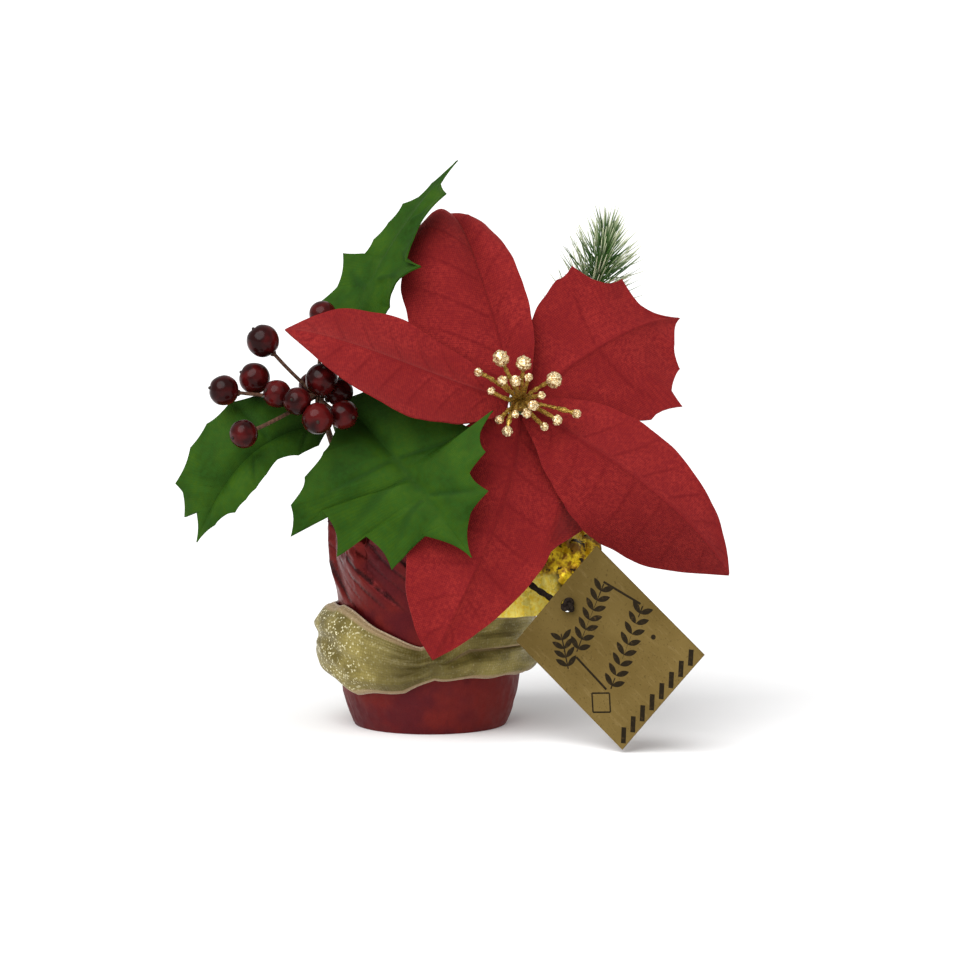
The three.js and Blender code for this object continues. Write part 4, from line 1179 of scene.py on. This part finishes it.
def make_cord(look):
    """The cord's run from the bloom's stem to its knot at the tag, its loop round the stem, and the knot."""
    hole = np.array(TAG["at"]) + TAG_UP * (TAG["height"] / 2 - TAG["hole_down"])
    forward = ACROSS * 0.65 + FACE * 0.76
    bends = np.radians(np.linspace(0, 90, 5))[:, None]
    bend = hole + TAG_UP * CORD_BEND * (1 - np.sin(bends)) - forward * CORD_BEND * np.cos(bends)
    end = hole + forward * 3.3
    route = even(through([*CORD_ROUTE, *bend, end]), 0.35)
    turn = np.linspace(0, 2 * math.pi, 80)[:, None]
    centre, ahead = at_height(stem_line(BLOOM_STEM, FEET["bloom"]), CORD_LOOP_Z)
    side = unit(np.cross(ahead, (0, 1, 0)))
    ring = np.cos(turn) * side + np.sin(turn) * np.cross(ahead, side)
    ring = centre + (STEM_R["bloom"] + CORD_R + 2.7 * GAP) * ring
    trefoil = np.hstack([
        np.sin(turn) + 2 * np.sin(2 * turn), np.cos(turn) - 2 * np.cos(2 * turn), -np.sin(3 * turn)
    ]) * 0.62
    knot = end - forward * 0.5 - ACROSS * 0.9 - TAG_UP * 0.8 + trefoil @ np.array([ACROSS, TAG_UP, FACE])
    twist = {"sides": 16, "lobes": 2, "depth": 0.13, "pitch": 3.4}
    for part, line, radius, shape in (
        ("run", route, CORD_R * 0.93, twist),
        ("loop", ring, CORD_R * 0.93, twist),
        ("knot", knot, 0.7, {"sides": 12}),
    ):
        piece = Piece("tag_cord_" + part)
        piece.tube(line, radius, **shape)
        piece.build([look], "dark_cord", ["tag_cord"], sharp=180)


# -------- floor, light and camera

FLOOR_HALF = 30.0
WORLD_STRENGTH = 0.66
SUN = {"from": (-0.46, -0.90, 1.14), "to": (0.01, -0.03, 0.09), "energy": 3.2, "degrees": 56}
CAMERA = {"at": (0.016, -1.49036, 0.24821), "down": 6.5, "lens": 175.78, "sensor": 36}


def put(name, data, place=(0, 0, 0), turn=(0, 0, 0)):
    made = bpy.data.objects.new(name, data)
    made.location, made.rotation_euler = place, turn
    bpy.context.scene.collection.objects.link(made)
    return made


def make_stage():
    h = FLOOR_HALF
    mesh = bpy.data.meshes.new("floor")
    mesh.from_pydata([(-h, -h, 0), (h, -h, 0), (h, h, 0), (-h, h, 0)], [], [(0, 1, 2, 3)])
    look = Look("pale_floor", Roughness=0.9, Specular_IOR_Level=0.1)
    look.give(Base_Color=look.blend(look.noise(3, 2), (0.9, 0.9, 0.9), (0.93, 0.93, 0.93)))
    mesh.materials.append(look.material)
    put("floor", mesh)
    bpy.context.scene.view_settings.view_transform = "Standard"
    world = bpy.data.worlds.new("studio")
    world.use_nodes = True
    background = world.node_tree.nodes["Background"]
    background.inputs["Color"].default_value = (1, 1, 1, 1)
    background.inputs["Strength"].default_value = WORLD_STRENGTH
    bpy.context.scene.world = world
    sun = bpy.data.lights.new("key", "SUN")
    sun.energy, sun.angle = SUN["energy"], math.radians(SUN["degrees"])
    way = Vector(SUN["to"]) - Vector(SUN["from"])
    put("key", sun, SUN["from"], way.to_track_quat("-Z", "Y").to_euler())


def make_camera():
    data = bpy.data.cameras.new("camera")
    data.lens, data.sensor_width = CAMERA["lens"], CAMERA["sensor"]
    turn = (math.radians(90 - CAMERA["down"]), 0, 0)
    bpy.context.scene.camera = put("camera", data, CAMERA["at"], turn)


# -------- the scene

make_camera()
make_stage()
make_cord(waxed_cord())

make_bracts(bract_cloth())
make_leaves(leaf_cloth())
green_wire = wire_wrap("green_tape", (0.022, 0.045, 0.012), (0.05, 0.09, 0.024))
make_bloom_stem(green_wire)
make_holly_stem(green_wire)
twig = wire_wrap("brown_tape", (0.05, 0.022, 0.012), (0.12, 0.055, 0.03))
make_berries(berry_skin(), twig, wire_wrap("calyx", (0.01, 0.006, 0.004), (0.03, 0.015, 0.01)))
make_stamens(
    glitter("gold_beads", (0.46, 0.27, 0.09), (1.0, 0.87, 0.56), 2600),
    glitter("gold_wire", (0.22, 0.12, 0.015), (0.70, 0.48, 0.11), 3400, 0.3),
)
make_pine(pine_plastic(), wire_wrap("pine_bark", (0.03, 0.04, 0.015), (0.07, 0.08, 0.03)))
make_wrap(foil_outside(), foil_lining())
make_ribbon(mesh_ribbon(), selvage())
make_card(kraft_card())
make_print(ink())

for node, look in (("pot_cup", pot_plastic()), ("foam_block", dry_foam())):
    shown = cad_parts[node]
    shown.data.materials.clear()
    shown.data.materials.append(look)
